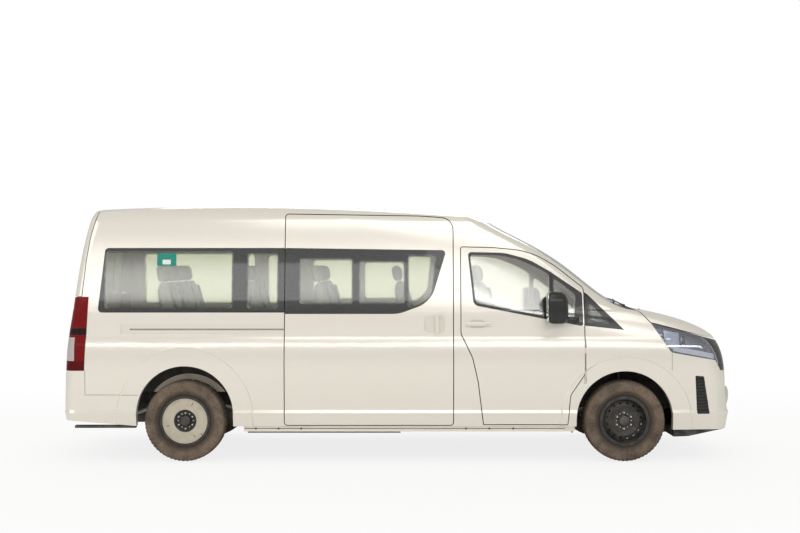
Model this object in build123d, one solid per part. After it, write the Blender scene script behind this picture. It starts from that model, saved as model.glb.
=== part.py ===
from build123d import *
import os
from collections import namedtuple

# A high-roof minibus. Millimetres, +X to the front, +Z up, the right-hand side at -Y.
# The origin is on the ground, on the centre line, at the middle of the length.

# ---- driving dimensions -------------------------------------------------------------------
FRONT_OVERHANG = 970.0
WHEELBASE = 3860.0
REAR_OVERHANG = 1085.0
BODY_WIDTH = 1950.0
HEIGHT = 2280.0
TRACK = 1675.0

LENGTH = FRONT_OVERHANG + WHEELBASE + REAR_OVERHANG
HALF_WIDTH = BODY_WIDTH / 2
NOSE = LENGTH / 2
TAIL = -LENGTH / 2
FRONT_AXLE = NOSE - FRONT_OVERHANG
REAR_AXLE = FRONT_AXLE - WHEELBASE

WALL = 60.0              # whole thickness of a door or a side
DOOR_GAP = 8.0           # seam round a door, lid or sliding door
PIN_GAP = 0.3            # running clearance of a pin in its bore
GLASS = 5.0              # glass thickness
REBATE = 30.0            # width of the flange that a glass is bonded to

SKIRT_Z = 280.0          # lower edge of the front bumper
SILL_Z = 311.0           # lower edge of the doors and sides
CREASE_Z = 455.0         # upper edge of the lower ledge
LEDGE = 26.0             # height of the ledge
WAIST_Z = 1097.0         # shoulder crease
BELT_Z = 1334.0          # foot of the windscreen
CANT_Z = 2112.0          # crease between side and roof
FLOOR_TOP = 640.0
FLOOR_THICK = 50.0
FLOOR_BOTTOM = FLOOR_TOP - FLOOR_THICK

TYRE_RADIUS = 356.0
TYRE_WIDTH = 235.0
RIM_SEAT = 203.0         # bead seat radius of a 16 inch rim
RIM_LIP = 221.0
RIM_WIDTH = 178.0
WHEEL_Y = TRACK / 2
STUD_CIRCLE = 139.7
STUD_HOLE = 15.0
HUB_BORE = 106.0

ARCH_RADIUS = 425.0
FRONT_ARCH_Z = 372.0
REAR_ARCH_Z = 415.0
HOUSE_RADIUS = 470.0     # inside of the wheelhouses
SHEET = 8.0              # pressed sheet, with its ribs

FAR = 1400.0             # beyond the body on either side


# ---- helpers ------------------------------------------------------------------------------
def block(x0, x1, y0, y1, z0, z1):
    """A box between two corners."""
    centre = Location(((x0 + x1) / 2, (y0 + y1) / 2, (z0 + z1) / 2))
    return centre * Box(abs(x1 - x0), abs(y1 - y0), abs(z1 - z0))


def outline(plane, points, radius=0.0, grow=0.0):
    """A closed flat outline through the points, with rounded corners, grown by a margin."""
    with BuildSketch(plane) as sketch:
        with BuildLine():
            FilletPolyline(*points, radius=radius, close=True)
        make_face()
        if grow:
            offset(amount=grow, kind=Kind.INTERSECTION)
    return sketch.sketch


def side_prism(points, near=600.0, far=FAR, radius=0.0, grow=0.0):
    """A side-view outline (X, Z), carried through the right-hand side from near to far."""
    return extrude(outline(Plane.XZ.offset(near), points, radius, grow), amount=far - near)


def cross_prism(points, radius=0.0, grow=0.0):
    """A side-view outline (X, Z), carried across the whole width."""
    return side_prism(points, -FAR, FAR, radius, grow)


def end_prism(points, x0, x1, radius=0.0, grow=0.0):
    """A front-view outline (Y, Z), carried along X."""
    return extrude(outline(Plane.YZ.offset(x0), points, radius, grow), amount=x1 - x0)


def left_of(piece):
    """The left-hand twin of a right-hand piece."""
    return mirror(piece, about=Plane.XZ)


def rod(start, end, radius):
    """A round bar between two points."""
    start, end = Vector(*start), Vector(*end)
    return extrude(Plane(start, z_dir=end - start) * Circle(radius), amount=(end - start).length)


def keep(*pieces):
    """All solids of some pieces as one compound."""
    return Compound(children=[solid for piece in pieces for solid in piece.solids()])


def save(name, piece):
    solids = piece.solids()
    export_step(Compound(children=solids) if len(solids) > 1 else solids[0], f"parts/{name}.step")


# ---- body form ----------------------------------------------------------------------------
# Plan sections of the body. side_in: how far the side stands in from the full width. tail_in:
# how far the rear stands in from the tail. reach: how far the nose stands ahead of the front
# axle. lean: how much faster than a wall's thickness the front moves back inside. radius, crown
# and taper: front corner radius, front bow and side taper, all seen from above.
Slice = namedtuple("Slice", "z side_in tail_in reach lean radius crown taper")
SKIRT = [
    Slice(SKIRT_Z - 10, 42, 24, FRONT_OVERHANG - 34, 1, 150, 20, 50),
    Slice(CREASE_Z - LEDGE, 17, 1, FRONT_OVERHANG - 10, 1, 150, 20, 50),
]
STEP = [
    Slice(CREASE_Z - LEDGE, 17, 1, FRONT_OVERHANG - 10, 1, 150, 20, 50),
    Slice(CREASE_Z, 27, 0.5, FRONT_OVERHANG - 14, 1, 155, 25, 50),
]
LOWER = [
    Slice(CREASE_Z, 27, 0.5, FRONT_OVERHANG - 14, 1, 155, 25, 50),
    Slice(CREASE_Z + 245, 15, 7.5, FRONT_OVERHANG - 20, 1, 170, 45, 50),
    Slice(WAIST_Z - 197, 9, 16.5, FRONT_OVERHANG - 38, 1, 190, 45, 50),
    Slice(WAIST_Z - 97, 14, 22.5, FRONT_OVERHANG - 65, 1.1, 220, 45, 50),
    Slice(WAIST_Z, 35, 30.5, FRONT_OVERHANG - 118, 1.4, 250, 50, 50),
]
UPPER = [
    Slice(WAIST_Z, 35, 30.5, FRONT_OVERHANG - 118, 1.4, 250, 50, 50),
    Slice(BELT_Z - 159, 41, 39.5, FRONT_OVERHANG - 222, 2.2, 260, 80, 55),
    Slice(BELT_Z - 84, 46, 51.5, 552, 3.0, 260, 110, 60),
    Slice(BELT_Z - 34, 49, 58.5, 342, 3.0, 220, 120, 60),
    Slice(BELT_Z, 52, 64.5, 162, 2.5, 180, 130, 60),
]
GREEN = [
    Slice(BELT_Z, 52, 64.5, 162, 2.5, 180, 130, 60),
    Slice(BELT_Z + 131, 66, 80.5, -108, 2.0, 170, 130, 58),
    Slice(CANT_Z - 412, 94, 111.5, -408, 1.8, 170, 130, 54),
    Slice(CANT_Z - 188, 121, 149.5, -763, 1.9, 170, 130, 48),
    Slice(CANT_Z, 153, 192.5, -1118, 2.2, 170, 130, 40),
]
TOP = [
    Slice(CANT_Z, 153, 192.5, -1118, 2.2, 170, 130, 40),
    Slice(CANT_Z + 88, 205, 232.5, -1338, 2.5, 200, 130, 40),
    Slice(CANT_Z + 148, 295, 297.5, -1568, 3.0, 240, 130, 40),
    Slice(CANT_Z + 188, 415, 387.5, -1808, 3.0, 260, 130, 40),
]
TAPER_LENGTH = 1250.0    # the sides begin to draw in this far behind the nose
TAIL_CORNER = 100.0
TAIL_BOW = 20.0
ROOF_APEX_X = -1400.0
ROOF_ARC = 25000.0       # roof radius seen from the side
ROOF_CROWN = 6100.0      # roof radius seen from the front


def plan_section(s, inset=0.0):
    """One horizontal section of the body, at the skin or an inset inside it."""
    half = HALF_WIDTH - s.side_in - inset
    tail = TAIL + s.tail_in + inset
    front = FRONT_AXLE + s.reach - inset * s.lean
    shoulder = front - s.crown
    start = front - TAPER_LENGTH
    with BuildSketch(Plane.XY.offset(s.z)) as sketch:
        with BuildLine():
            Line((tail + TAIL_BOW, half), (start, half))
            TangentArc((start, half), (shoulder, half - s.taper), tangent=(1, 0))
            ThreePointArc((shoulder, half - s.taper), (front, 0), (shoulder, s.taper - half))
            TangentArc((start, -half), (shoulder, s.taper - half), tangent=(1, 0))
            Line((start, -half), (tail + TAIL_BOW, -half))
            ThreePointArc((tail + TAIL_BOW, -half), (tail, 0), (tail + TAIL_BOW, half))
        make_face()
        fillet(sketch.vertices().filter_by(lambda v: v.X > shoulder - 1), radius=s.radius)
        fillet(sketch.vertices().filter_by(lambda v: v.X < tail + TAIL_BOW + 1), radius=TAIL_CORNER)
    return sketch.sketch.faces()[0]


def tier(slices, inset=0.0):
    return loft([plan_section(s, inset) for s in slices], ruled=len(slices) == 2)


def above_roof(inset=0.0):
    """All that lies above the crowned roof."""
    apex = HEIGHT - inset
    reach = LENGTH
    edge = apex - reach * reach / (2 * ROOF_ARC)
    with BuildSketch(Plane.XZ) as sketch:
        with BuildLine():
            left, right = (ROOF_APEX_X - reach, edge), (ROOF_APEX_X + reach, edge)
            ThreePointArc(left, (ROOF_APEX_X, apex), right)
            Polyline(right, (ROOF_APEX_X + reach, HEIGHT + 400), (ROOF_APEX_X - reach, HEIGHT + 400), left)
        make_face()
    axis = Axis((0, 0, HEIGHT - ROOF_CROWN), (1, 0, 0))
    swing = 24.0
    return revolve(sketch.sketch.rotate(axis, -swing / 2), axis=axis, revolution_arc=swing)


def body_form(inset=0.0):
    tiers = [tier(slices, inset) for slices in (SKIRT, STEP, LOWER, UPPER, GREEN, TOP)]
    form = tiers[0]
    for part in tiers[1:]:
        form = form + part
    return form - above_roof(inset)


outer = body_form()
cavity = body_form(WALL) + extrude(plan_section(SKIRT[0], WALL), amount=-200)
shell = outer - cavity
glass_layer = (tier(UPPER) + tier(GREEN)) - (tier(UPPER, GLASS) + tier(GREEN, GLASS))

# ---- outlines of the openings, in side view (X, Z) unless said ---------------------------
DOOR_FRONT = FRONT_AXLE - 349.5       # seam between front door and fender
DOOR_REAR = FRONT_AXLE - 1437.0       # seam between front door and B pillar
SLIDE_FRONT = FRONT_AXLE - 1502.5
SLIDE_REAR = FRONT_AXLE - 2987.5
BUMPER_SEAM = FRONT_AXLE + 414.0
COWL_X = FRONT_AXLE + 147.5           # rear edge of the bonnet
BELT_LINE = BELT_Z - 26               # lower edge of the side glass
GLASS_TOP = CANT_Z - 235
LAMP_FOOT = 801.0                     # lower edge of the tail lamps
BUMPER_TOP = 592.0                    # seam between tailgate and rear bumper
LAMP_INNER = 765.0                    # tail lamps start this far from the centre line
TAILGATE_TOP = TAIL + 292.5           # seam between roof and tailgate

front_door_outline = [
    (DOOR_REAR, GLASS_TOP + 10), (DOOR_REAR, 1123), (DOOR_REAR + 101, 913), (DOOR_REAR + 150, 700),
    (DOOR_REAR + 197, SILL_Z + 14), (DOOR_FRONT - 151, SILL_Z + 14), (DOOR_FRONT - 128, 585),
    (DOOR_FRONT, 775), (DOOR_FRONT, 1524), (DOOR_FRONT - 249, 1719), (DOOR_FRONT - 395, 1806),
    (DOOR_FRONT - 560, 1858), (DOOR_FRONT - 800, GLASS_TOP + 4),
]
front_door_corners = [20, 60, 200, 300, 10, 10, 90, 90, 60, 500, 500, 500, 500]
front_glass_outline = [
    (DOOR_REAR + 62, GLASS_TOP - 36), (DOOR_REAR + 112, 1372), (DOOR_FRONT - 338, 1250),
    (DOOR_FRONT - 14, 1188), (DOOR_FRONT - 14, 1478), (DOOR_FRONT - 300, 1672),
    (DOOR_FRONT - 480, 1775), (DOOR_FRONT - 700, GLASS_TOP - 42),
]
front_glass_corners = [30, 60, 700, 20, 30, 500, 500, 500]
front_pane_outline = [
    (DOOR_REAR + 82, GLASS_TOP - 60), (DOOR_REAR + 130, 1394), (DOOR_FRONT - 305, 1268),
    (DOOR_FRONT - 305, 1645), (DOOR_FRONT - 490, 1750), (DOOR_FRONT - 690, GLASS_TOP - 64),
]
quarter_pane_outline = [
    (DOOR_FRONT - 268, 1266), (DOOR_FRONT - 96, 1226), (DOOR_FRONT - 72, 1470), (DOOR_FRONT - 268, 1612),
]
trim_outline = [
    (DOOR_FRONT - 2, BELT_Z - 140), (DOOR_FRONT + 348, BELT_Z - 178), (DOOR_FRONT + 30, 1470), (DOOR_FRONT - 2, 1490),
]
trim_pane_outline = [
    (DOOR_FRONT + 30, BELT_Z - 110), (DOOR_FRONT + 230, BELT_Z - 132), (DOOR_FRONT + 30, 1420),
]
slide_outline = [
    (SLIDE_REAR, SILL_Z + 8), (SLIDE_FRONT, SILL_Z + 8), (SLIDE_FRONT, 2142), (SLIDE_FRONT - 300, 2162),
    (SLIDE_REAR, 2180),
]
slide_corners = [30, 30, 110, 900, 30]
slide_glass_outline = [
    (SLIDE_REAR + 4, GLASS_TOP), (SLIDE_REAR + 4, BELT_LINE - 12), (SLIDE_FRONT - 480, BELT_LINE - 12),
    (SLIDE_FRONT - 200, 1400), (SLIDE_FRONT - 60, GLASS_TOP - 20),
]
slide_glass_corners = [6, 6, 300, 250, 30]
quarter_glass_outline = [
    (SLIDE_REAR - 4, GLASS_TOP), (TAIL + 370, GLASS_TOP), (TAIL + 314, BELT_LINE), (SLIDE_REAR - 4, BELT_LINE),
]
# clear panes of the side glass: rear and front end behind the front axle, lower and upper edge
Pane = namedtuple("Pane", "rear front low high")
PANES = [
    Pane(-4570, -3450, 1346, 1843),
    Pane(-3315, -3050, 1342, 1827),
    Pane(-2855, -2393, 1387, 1781),
    Pane(-2330, -1932, 1390, 1757),
]
corner_pane_outline = [
    (FRONT_AXLE - 1900, 1350), (FRONT_AXLE - 1790, 1368), (FRONT_AXLE - 1690, 1470), (FRONT_AXLE - 1655, 1815),
    (FRONT_AXLE - 1900, 1815),
]
tailgate_outline = [
    (TAILGATE_TOP, HEIGHT + 100), (TAILGATE_TOP, CANT_Z + 83), (TAIL + 233, CANT_Z - 144),
    (TAIL + 201, CANT_Z - 362), (TAIL + 173, 1447), (TAIL - 200, 1447), (TAIL - 200, HEIGHT + 100),
]
tail_panel = [(-LAMP_INNER, BUMPER_TOP), (LAMP_INNER, BUMPER_TOP), (LAMP_INNER, 1500), (-LAMP_INNER, 1500)]
tail_glass_outline = [(-640, 1400), (640, 1400), (600, 1960), (-600, 1960)]
lamp_line = [
    (FRONT_AXLE + 232.5, 1220), (FRONT_AXLE + 754.5, 1085), (NOSE + 80, 1012),
]
bonnet_outline = [
    (COWL_X, BELT_Z + 30), (COWL_X, BELT_Z - 20), *lamp_line, (NOSE + 80, BELT_Z + 30),
]
lamp_outline = [
    *lamp_line, (NOSE + 80, 800), (FRONT_AXLE + 850, 800), (FRONT_AXLE + 804, 891), (FRONT_AXLE + 405, 964),
]
windscreen_outline = [(-775, BELT_Z + 22), (775, BELT_Z + 22), (690, CANT_Z - 6), (-690, CANT_Z - 6)]
grille_outline = [(-470, 800), (470, 800), (380, 1110), (-380, 1110)]
bumper_outline = [
    (BUMPER_SEAM, SKIRT_Z - 60), (NOSE + 80, SKIRT_Z - 60), (NOSE + 80, 800), (FRONT_AXLE + 850, 800),
    (FRONT_AXLE + 804, 891), (BUMPER_SEAM, 962),
]
fender_outline = [
    (DOOR_FRONT - 165, SKIRT_Z - 60), (DOOR_FRONT - 165, 620), (DOOR_FRONT - 2, 800), (DOOR_FRONT - 2, BELT_Z - 140),
    (DOOR_FRONT + 348, BELT_Z - 178), (COWL_X - 12, BELT_Z), (NOSE + 80, BELT_Z), (NOSE + 80, SKIRT_Z - 60),
]
tail_lamp_outline = [
    (TAIL + 232, 1447), (TAIL + 205, LAMP_FOOT), (TAIL - 100, LAMP_FOOT), (TAIL - 100, 1447),
]
rear_bumper_outline = [
    (REAR_AXLE - 387, SILL_Z - 60), (REAR_AXLE - 387, 587), (TAIL + 212, 587), (TAIL + 212, LAMP_FOOT),
    (TAIL - 100, LAMP_FOOT), (TAIL - 100, SILL_Z - 60),
]
rear_slant = [
    (REAR_AXLE - 300, SILL_Z - 5), (TAIL - 100, SILL_Z + 64), (TAIL - 100, 150), (REAR_AXLE - 300, 150),
]
vent_outline = [
    (FRONT_AXLE + 621, 756), (FRONT_AXLE + 699, 747), (FRONT_AXLE + 751, 419), (FRONT_AXLE + 639, 419),
]
intake_outline = [(-560, 470), (560, 470), (610, 665), (-610, 665)]


# ---- shell split into its panels ----------------------------------------------------------
def arch(x, z, radius, near=600.0):
    """The space of a wheel arch, open downwards."""
    return rod((x, -near, z), (x, -FAR, z), radius) + block(x - radius, x + radius, -near, -FAR, 0, z)


def flare(x, z, reach):
    """The raised band round a wheel arch, out to a reach beyond the opening."""
    rim_radius = ARCH_RADIUS - 10
    edge = ARCH_RADIUS + reach
    points = [(rim_radius, HALF_WIDTH - 100), (rim_radius, HALF_WIDTH + 10), (edge - 19, HALF_WIDTH + 10),
              (edge + 91, HALF_WIDTH - 100)]
    with BuildSketch(Plane.XY) as sketch:
        with BuildLine():
            Polyline(*[(x + r, -y) for r, y in points], close=True)
        make_face()
    band = revolve(sketch.sketch, axis=Axis((x, 0, 0), (0, 1, 0)), revolution_arc=360)
    return (Pos(0, 0, z) * band) & flare_skin


def both(piece):
    """A right-hand piece together with its left-hand twin."""
    return piece + left_of(piece)


arch_front = arch(FRONT_AXLE, FRONT_ARCH_Z, ARCH_RADIUS)
arch_rear = arch(REAR_AXLE, REAR_ARCH_Z, ARCH_RADIUS)
FLARE = 9.0              # how far the flares stand out from the skin
flare_skin = tier(SKIRT, -FLARE) + tier(STEP, -FLARE) + tier(LOWER, -FLARE)
flare_front = flare(FRONT_AXLE, FRONT_ARCH_Z, 125) - cavity
flare_rear = flare(REAR_AXLE, REAR_ARCH_Z, 158) - cavity
below_sill = block(TAIL - 50, BUMPER_SEAM, -FAR, FAR, -FAR, SILL_Z) + cross_prism(rear_slant)
below_skirt = block(BUMPER_SEAM, NOSE + 50, -FAR, FAR, -FAR, SKIRT_Z)
header = block(FRONT_AXLE - 1450, FRONT_AXLE - 950, -640, 640, CANT_Z - 62, CANT_Z)

nose_box = block(BUMPER_SEAM - 450, NOSE + 50, -FAR, FAR, 0, BELT_Z + 60)
front_end = ((shell & nose_box) + both(flare_front & nose_box)) - both(arch_front) - below_sill - below_skirt
tail_box = block(TAIL - 50, REAR_AXLE - 387, -FAR, FAR, 0, HEIGHT + 50)
tail_end = ((shell & tail_box) + both(flare_rear & tail_box)) - both(arch_rear) - below_sill
half = shell & block(TAIL - 50, NOSE + 50, -FAR, 0, 0, CANT_Z)
half = (half + flare_front + flare_rear) - arch_front - arch_rear - below_sill - below_skirt
lid = shell & (block(TAIL - 50, NOSE, -FAR, FAR, CANT_Z, HEIGHT + 50) + header)

bonnet_zone = cross_prism(bonnet_outline, grow=DOOR_GAP / 2)
grille_zone = end_prism(grille_outline, FRONT_AXLE + 600, NOSE + 80)
bumper_zone = cross_prism(bumper_outline)
lamp_zone = side_prism(lamp_outline, 300)
fender_zone = side_prism(fender_outline, 0)
door_zone = side_prism(front_door_outline, radius=front_door_corners, grow=DOOR_GAP / 2)
door_cut = side_prism(front_door_outline, radius=front_door_corners, grow=-DOOR_GAP / 2)
slide_zone = side_prism(slide_outline, radius=slide_corners, grow=DOOR_GAP / 2)
slide_cut = side_prism(slide_outline, radius=slide_corners, grow=-DOOR_GAP / 2)
tail_panel_zone = end_prism(tail_panel, TAIL - 100, TAIL + 260)
tail_panel_cut = end_prism(tail_panel, TAIL - 100, TAIL + 252, grow=-DOOR_GAP)
tailgate_zone = cross_prism(tailgate_outline, grow=DOOR_GAP / 2) + tail_panel_zone
tailgate_cut = cross_prism(tailgate_outline, grow=-DOOR_GAP / 2) + tail_panel_cut
rear_bumper_zone = cross_prism(rear_bumper_outline)
tail_lamp_zone = side_prism(tail_lamp_outline, 0)
trim_zone = side_prism(trim_outline)
cowl_zone = block(COWL_X - 400, COWL_X + 200, -780, 780, BELT_Z - 60, BELT_Z + 60)

# glass, each bonded in a rebate as deep as itself
windscreen = glass_layer & end_prism(windscreen_outline, FRONT_AXLE - 1500, NOSE, radius=60)
windscreen_hole = end_prism(windscreen_outline, FRONT_AXLE - 1500, NOSE, radius=60, grow=-REBATE)
tail_glass = glass_layer & end_prism(tail_glass_outline, TAIL - 100, TAIL + 300, radius=70)
tail_hole = end_prism(tail_glass_outline, TAIL - 100, TAIL + 300, radius=70, grow=-REBATE)
door_glass = glass_layer & side_prism(front_glass_outline, radius=front_glass_corners)
slide_glass = glass_layer & side_prism(slide_glass_outline, radius=slide_glass_corners)
quarter_glass = glass_layer & side_prism(quarter_glass_outline, radius=[6, 35, 35, 6])
trim_glass = glass_layer & side_prism(trim_pane_outline, radius=10)
panes = [
    side_prism([(FRONT_AXLE + p.rear, p.low), (FRONT_AXLE + p.front, p.low), (FRONT_AXLE + p.front, p.high),
                (FRONT_AXLE + p.rear, p.high)], radius=45)
    for p in PANES
]
panes.append(side_prism(corner_pane_outline, radius=[30, 60, 60, 20, 30]))
door_panes = [side_prism(front_pane_outline, radius=30), side_prism(quarter_pane_outline, radius=20)]

bonnet = front_end & cross_prism(bonnet_outline, grow=-DOOR_GAP / 2)
cowl = (front_end & cowl_zone) - bonnet_zone - windscreen - windscreen_hole
grille_panel = (front_end & grille_zone) - bonnet_zone
front_bumper = (front_end & bumper_zone) - grille_zone
front_half = half & block(BUMPER_SEAM - 960, NOSE + 50, -FAR, 0, SKIRT_Z, BELT_Z)
headlamp = (front_half & lamp_zone) - bonnet_zone - grille_zone
fender = (front_half & fender_zone) - bumper_zone - lamp_zone - bonnet_zone - door_zone - cowl_zone - grille_zone
door = (half & door_cut) - door_glass - door_panes[0] - door_panes[1]
tailgate = (tail_end & tailgate_cut) - tail_glass - tail_hole
rear_bumper = (tail_end & rear_bumper_zone) - tailgate_zone
tail_lamp = (half & tail_lamp_zone) - tailgate_zone
trim = (half & trim_zone) - door_zone - trim_glass - side_prism(trim_pane_outline, radius=10, grow=-12)

side = half - fender_zone - door_zone - tailgate_zone - rear_bumper_zone - tail_lamp_zone - trim_zone
side = side - header - cowl_zone - windscreen - windscreen_hole - quarter_glass - slide_glass
for pane in panes:
    side = side - pane
sill_flange = block(REAR_AXLE + 516, FRONT_AXLE - 436, 72 - HALF_WIDTH, 60 - HALF_WIDTH, SILL_Z - 49, SILL_Z + 4)
below_fender = block(FRONT_AXLE - 516, FRONT_AXLE, 80 - HALF_WIDTH, 50 - HALF_WIDTH, SILL_Z - PIN_GAP, SILL_Z + 10)
side = side + (sill_flange - below_fender)
roof = lid - cross_prism(tailgate_outline, grow=DOOR_GAP / 2) - windscreen - windscreen_hole
sliding_door = (side & slide_cut) + (roof & slide_cut)
roof = roof - slide_zone
side_right = side - slide_zone
side_left = left_of(side)

# ---- hinges, handles and rails on the panels -----------------------------------------------
PIN = DOOR_GAP / 2 - PIN_GAP
DOOR_AXIS_Y = HALF_WIDTH - 18
DOOR_HINGES = [(740, 800), (950, 1000)]             # lower and upper end of each pin
BONNET_AXIS_Z = BELT_Z - 9
BONNET_SWING = 19.0                                 # radius that the bonnet's rear edge sweeps
FLARE_SWING = 18.0                                  # radius that the door's front edge sweeps at the flare
DOOR_SWING = 13.0                                   # the same above the flare
FLARE_TOP = 800.0
BONNET_HINGES = [(380, 460)]                        # inner and outer end of each pin
TAILGATE_AXIS_Z = HEIGHT - (TAILGATE_TOP - ROOF_APEX_X) ** 2 / (2 * ROOF_ARC) - 3
TAILGATE_HINGES = [(60, 150)]

fender = fender - rod((DOOR_FRONT, -DOOR_AXIS_Y, 690), (DOOR_FRONT, -DOOR_AXIS_Y, FLARE_TOP), FLARE_SWING)
fender = fender - rod((DOOR_FRONT, -DOOR_AXIS_Y, FLARE_TOP), (DOOR_FRONT, -DOOR_AXIS_Y, WAIST_Z), DOOR_SWING)
for low, high in DOOR_HINGES:
    fender = fender + rod((DOOR_FRONT, -DOOR_AXIS_Y, low), (DOOR_FRONT, -DOOR_AXIS_Y, high), PIN)
    fender = fender + block(
        DOOR_FRONT, DOOR_FRONT + FLARE_SWING + 4, 2 * PIN - DOOR_AXIS_Y, -DOOR_AXIS_Y, low, high)
cowl = cowl - rod((COWL_X, -FAR, BONNET_AXIS_Z), (COWL_X, FAR, BONNET_AXIS_Z), BONNET_SWING)
for near, far in BONNET_HINGES:
    for lug in (1, -1):
        cowl = cowl + rod((COWL_X, lug * near, BONNET_AXIS_Z), (COWL_X, lug * far, BONNET_AXIS_Z), PIN)
        cowl = cowl + block(
            COWL_X - BONNET_SWING - 4, COWL_X, lug * near, lug * far, BONNET_AXIS_Z - 2 * PIN, BONNET_AXIS_Z)
for near, far in TAILGATE_HINGES:
    for lug in (1, -1):
        start, end = (TAILGATE_TOP, lug * near, TAILGATE_AXIS_Z), (TAILGATE_TOP, lug * far, TAILGATE_AXIS_Z)
        roof = roof + rod(start, end, PIN)
        roof = roof + block(TAILGATE_TOP, TAILGATE_TOP + 8, start[1], end[1], start[2] - PIN, start[2] + 1)


def grip(x0, x1, z0, z1, skin_y, stand=22.0, bar=15.0):
    """A pull handle whose ends are carried on the skin."""
    along = x1 - x0 > z1 - z0
    face = block(x0, x1, -skin_y - stand + bar, -skin_y - stand, z0, z1)
    face = fillet(face.edges().filter_by(Axis.X if along else Axis.Z), radius=6)
    post = 24.0
    if along:
        ends = [(x0, x0 + post, z0 + 3, z1 - 3), (x1 - post, x1, z0 + 3, z1 - 3)]
    else:
        ends = [(x0 + 3, x1 - 3, z0, z0 + post), (x0 + 3, x1 - 3, z1 - post, z1)]
    for a, b, c, d in ends:
        face = face + block(a, b, -skin_y + 8, -skin_y - stand + bar / 2, c, d)
    return face


HANDLE_Z = WAIST_Z + 110
HANDLE_SKIN = HALF_WIDTH - 43


def bowl(x0, x1, z0, z1, depth, radius):
    """The hollow pressed behind a handle."""
    return side_prism([(x0, z0), (x1, z0), (x1, z1), (x0, z1)], HANDLE_SKIN - depth, FAR, radius)


door = door - bowl(DOOR_REAR + 80, DOOR_REAR + 206, HANDLE_Z - 36, HANDLE_Z + 38, 12, 34)
door = door + grip(DOOR_REAR + 40, DOOR_REAR + 262, HANDLE_Z - 16, HANDLE_Z + 16, HANDLE_SKIN)
slide_handle_x = SLIDE_FRONT - 258
sliding_door = sliding_door - bowl(slide_handle_x, slide_handle_x + 180, HANDLE_Z - 74, HANDLE_Z + 66, 14, 36)
sliding_door = sliding_door + grip(slide_handle_x + 96, slide_handle_x + 130, HANDLE_Z - 88, HANDLE_Z + 80, HANDLE_SKIN)
# the middle rail of the sliding door
side_right = side_right - block(TAIL + 520, SLIDE_REAR, 3 - HANDLE_SKIN, -FAR, 1124, 1202)
side_right = side_right - block(TAIL + 600, SLIDE_REAR, 34 - HANDLE_SKIN, -FAR, 1154, 1167)
# guide wedges that seat the sliding door in its opening: height and depth behind the full width
for z, depth in ((520, 66), (1540, 110)):
    near, far = depth - HALF_WIDTH, depth + 20 - HALF_WIDTH
    reach = DOOR_GAP / 2 - PIN_GAP
    sliding_door = sliding_door + block(SLIDE_FRONT - 12, SLIDE_FRONT + reach, near, far, z, z + 60)
    sliding_door = sliding_door + block(SLIDE_REAR - reach, SLIDE_REAR + 12, near, far, z, z + 60)

# ---- openings of the nose --------------------------------------------------------------------
vent = side_prism(vent_outline, HALF_WIDTH - 75, FAR, radius=12)
frame_band = 34.0                     # width of the frame round the lower intake
intake = end_prism(intake_outline, NOSE - 200, NOSE + 50, radius=60)
intake_frame = end_prism(intake_outline, NOSE - 112, NOSE, radius=60 + frame_band, grow=frame_band)
intake_frame = chamfer(intake_frame.faces().sort_by(Axis.X)[-1].edges(), length=12)
front_bumper = front_bumper - vent - left_of(vent)
front_bumper = front_bumper - end_prism(intake_outline, NOSE - 200, NOSE + 50, radius=60 + frame_band, grow=frame_band)
lower_grille = intake_frame - intake
SLATS = 3
for i in range(SLATS):
    z = intake_outline[0][1] + (i + 1) * (intake_outline[2][1] - intake_outline[0][1]) / (SLATS + 1)
    lower_grille = lower_grille + (block(NOSE - 80, NOSE - 34, -700, 700, z - 9, z + 9) & intake)
GRILLE_SLOTS = 4
slot_pitch = 50.0
for i in range(GRILLE_SLOTS):
    z = 822 + slot_pitch * i
    reach = 430 - (z - 800) * 90 / 310
    grille_panel = grille_panel - block(NOSE - 400, NOSE + 50, -reach, reach, z, z + 24)

# ---- plinths for the number plates ------------------------------------------------------------
PLATE_HOLE = 3.2
PLATE_SPACING = 290.0
front_plate = (NOSE - 16, 0, 765.0)
rear_plate = (TAIL + 5, 0, 865.0)
front_bumper = front_bumper + block(NOSE - 60, front_plate[0], -270, 270, front_plate[2] - 58, front_plate[2] + 27)
tailgate = tailgate + block(rear_plate[0], TAIL + 50, -270, 270, rear_plate[2] - 62, rear_plate[2] + 62)
for y in (-PLATE_SPACING / 2, PLATE_SPACING / 2):
    front_bumper = front_bumper - rod((front_plate[0] - 20, y, front_plate[2]), (NOSE + 20, y, front_plate[2]), PLATE_HOLE)
    tailgate = tailgate - rod((TAIL - 20, y, rear_plate[2]), (rear_plate[0] + 20, y, rear_plate[2]), PLATE_HOLE)

# ---- mirrors -------------------------------------------------------------------------------
mirror_body = block(FRONT_AXLE - 697, FRONT_AXLE - 517, -HALF_WIDTH - 215, -HALF_WIDTH - 10, 1215, 1500)
mirror_body = fillet(mirror_body.edges().filter_by(Axis.X), radius=60)
mirror_body = fillet(mirror_body.edges().group_by(Axis.X)[-1], radius=50)
mirror_body = mirror_body - block(FRONT_AXLE - 700, FRONT_AXLE - 685, -HALF_WIDTH - 200, -HALF_WIDTH - 25, 1232, 1485)
mirror_arm = block(FRONT_AXLE - 560, FRONT_AXLE - 420, -HALF_WIDTH - 40, -HALF_WIDTH + 46, 1222, 1268)
mirror_arm = mirror_arm - shell - glass_layer
mirror_piece = mirror_body + mirror_arm.solids().sort_by(Axis.Y)[0]

# ---- floor, firewall and wheelhouses -------------------------------------------------------
KINGPIN_FOOT = (FRONT_AXLE, WHEEL_Y - 92.5, 230.0)
KINGPIN_HEAD = (FRONT_AXLE, WHEEL_Y - 277.5, 900.0)
FIREWALL_X = FRONT_AXLE - 82.0
FRONT_HOUSE_INNER = 496.0
REAR_HOUSE_INNER = WHEEL_Y - 148.0


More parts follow.
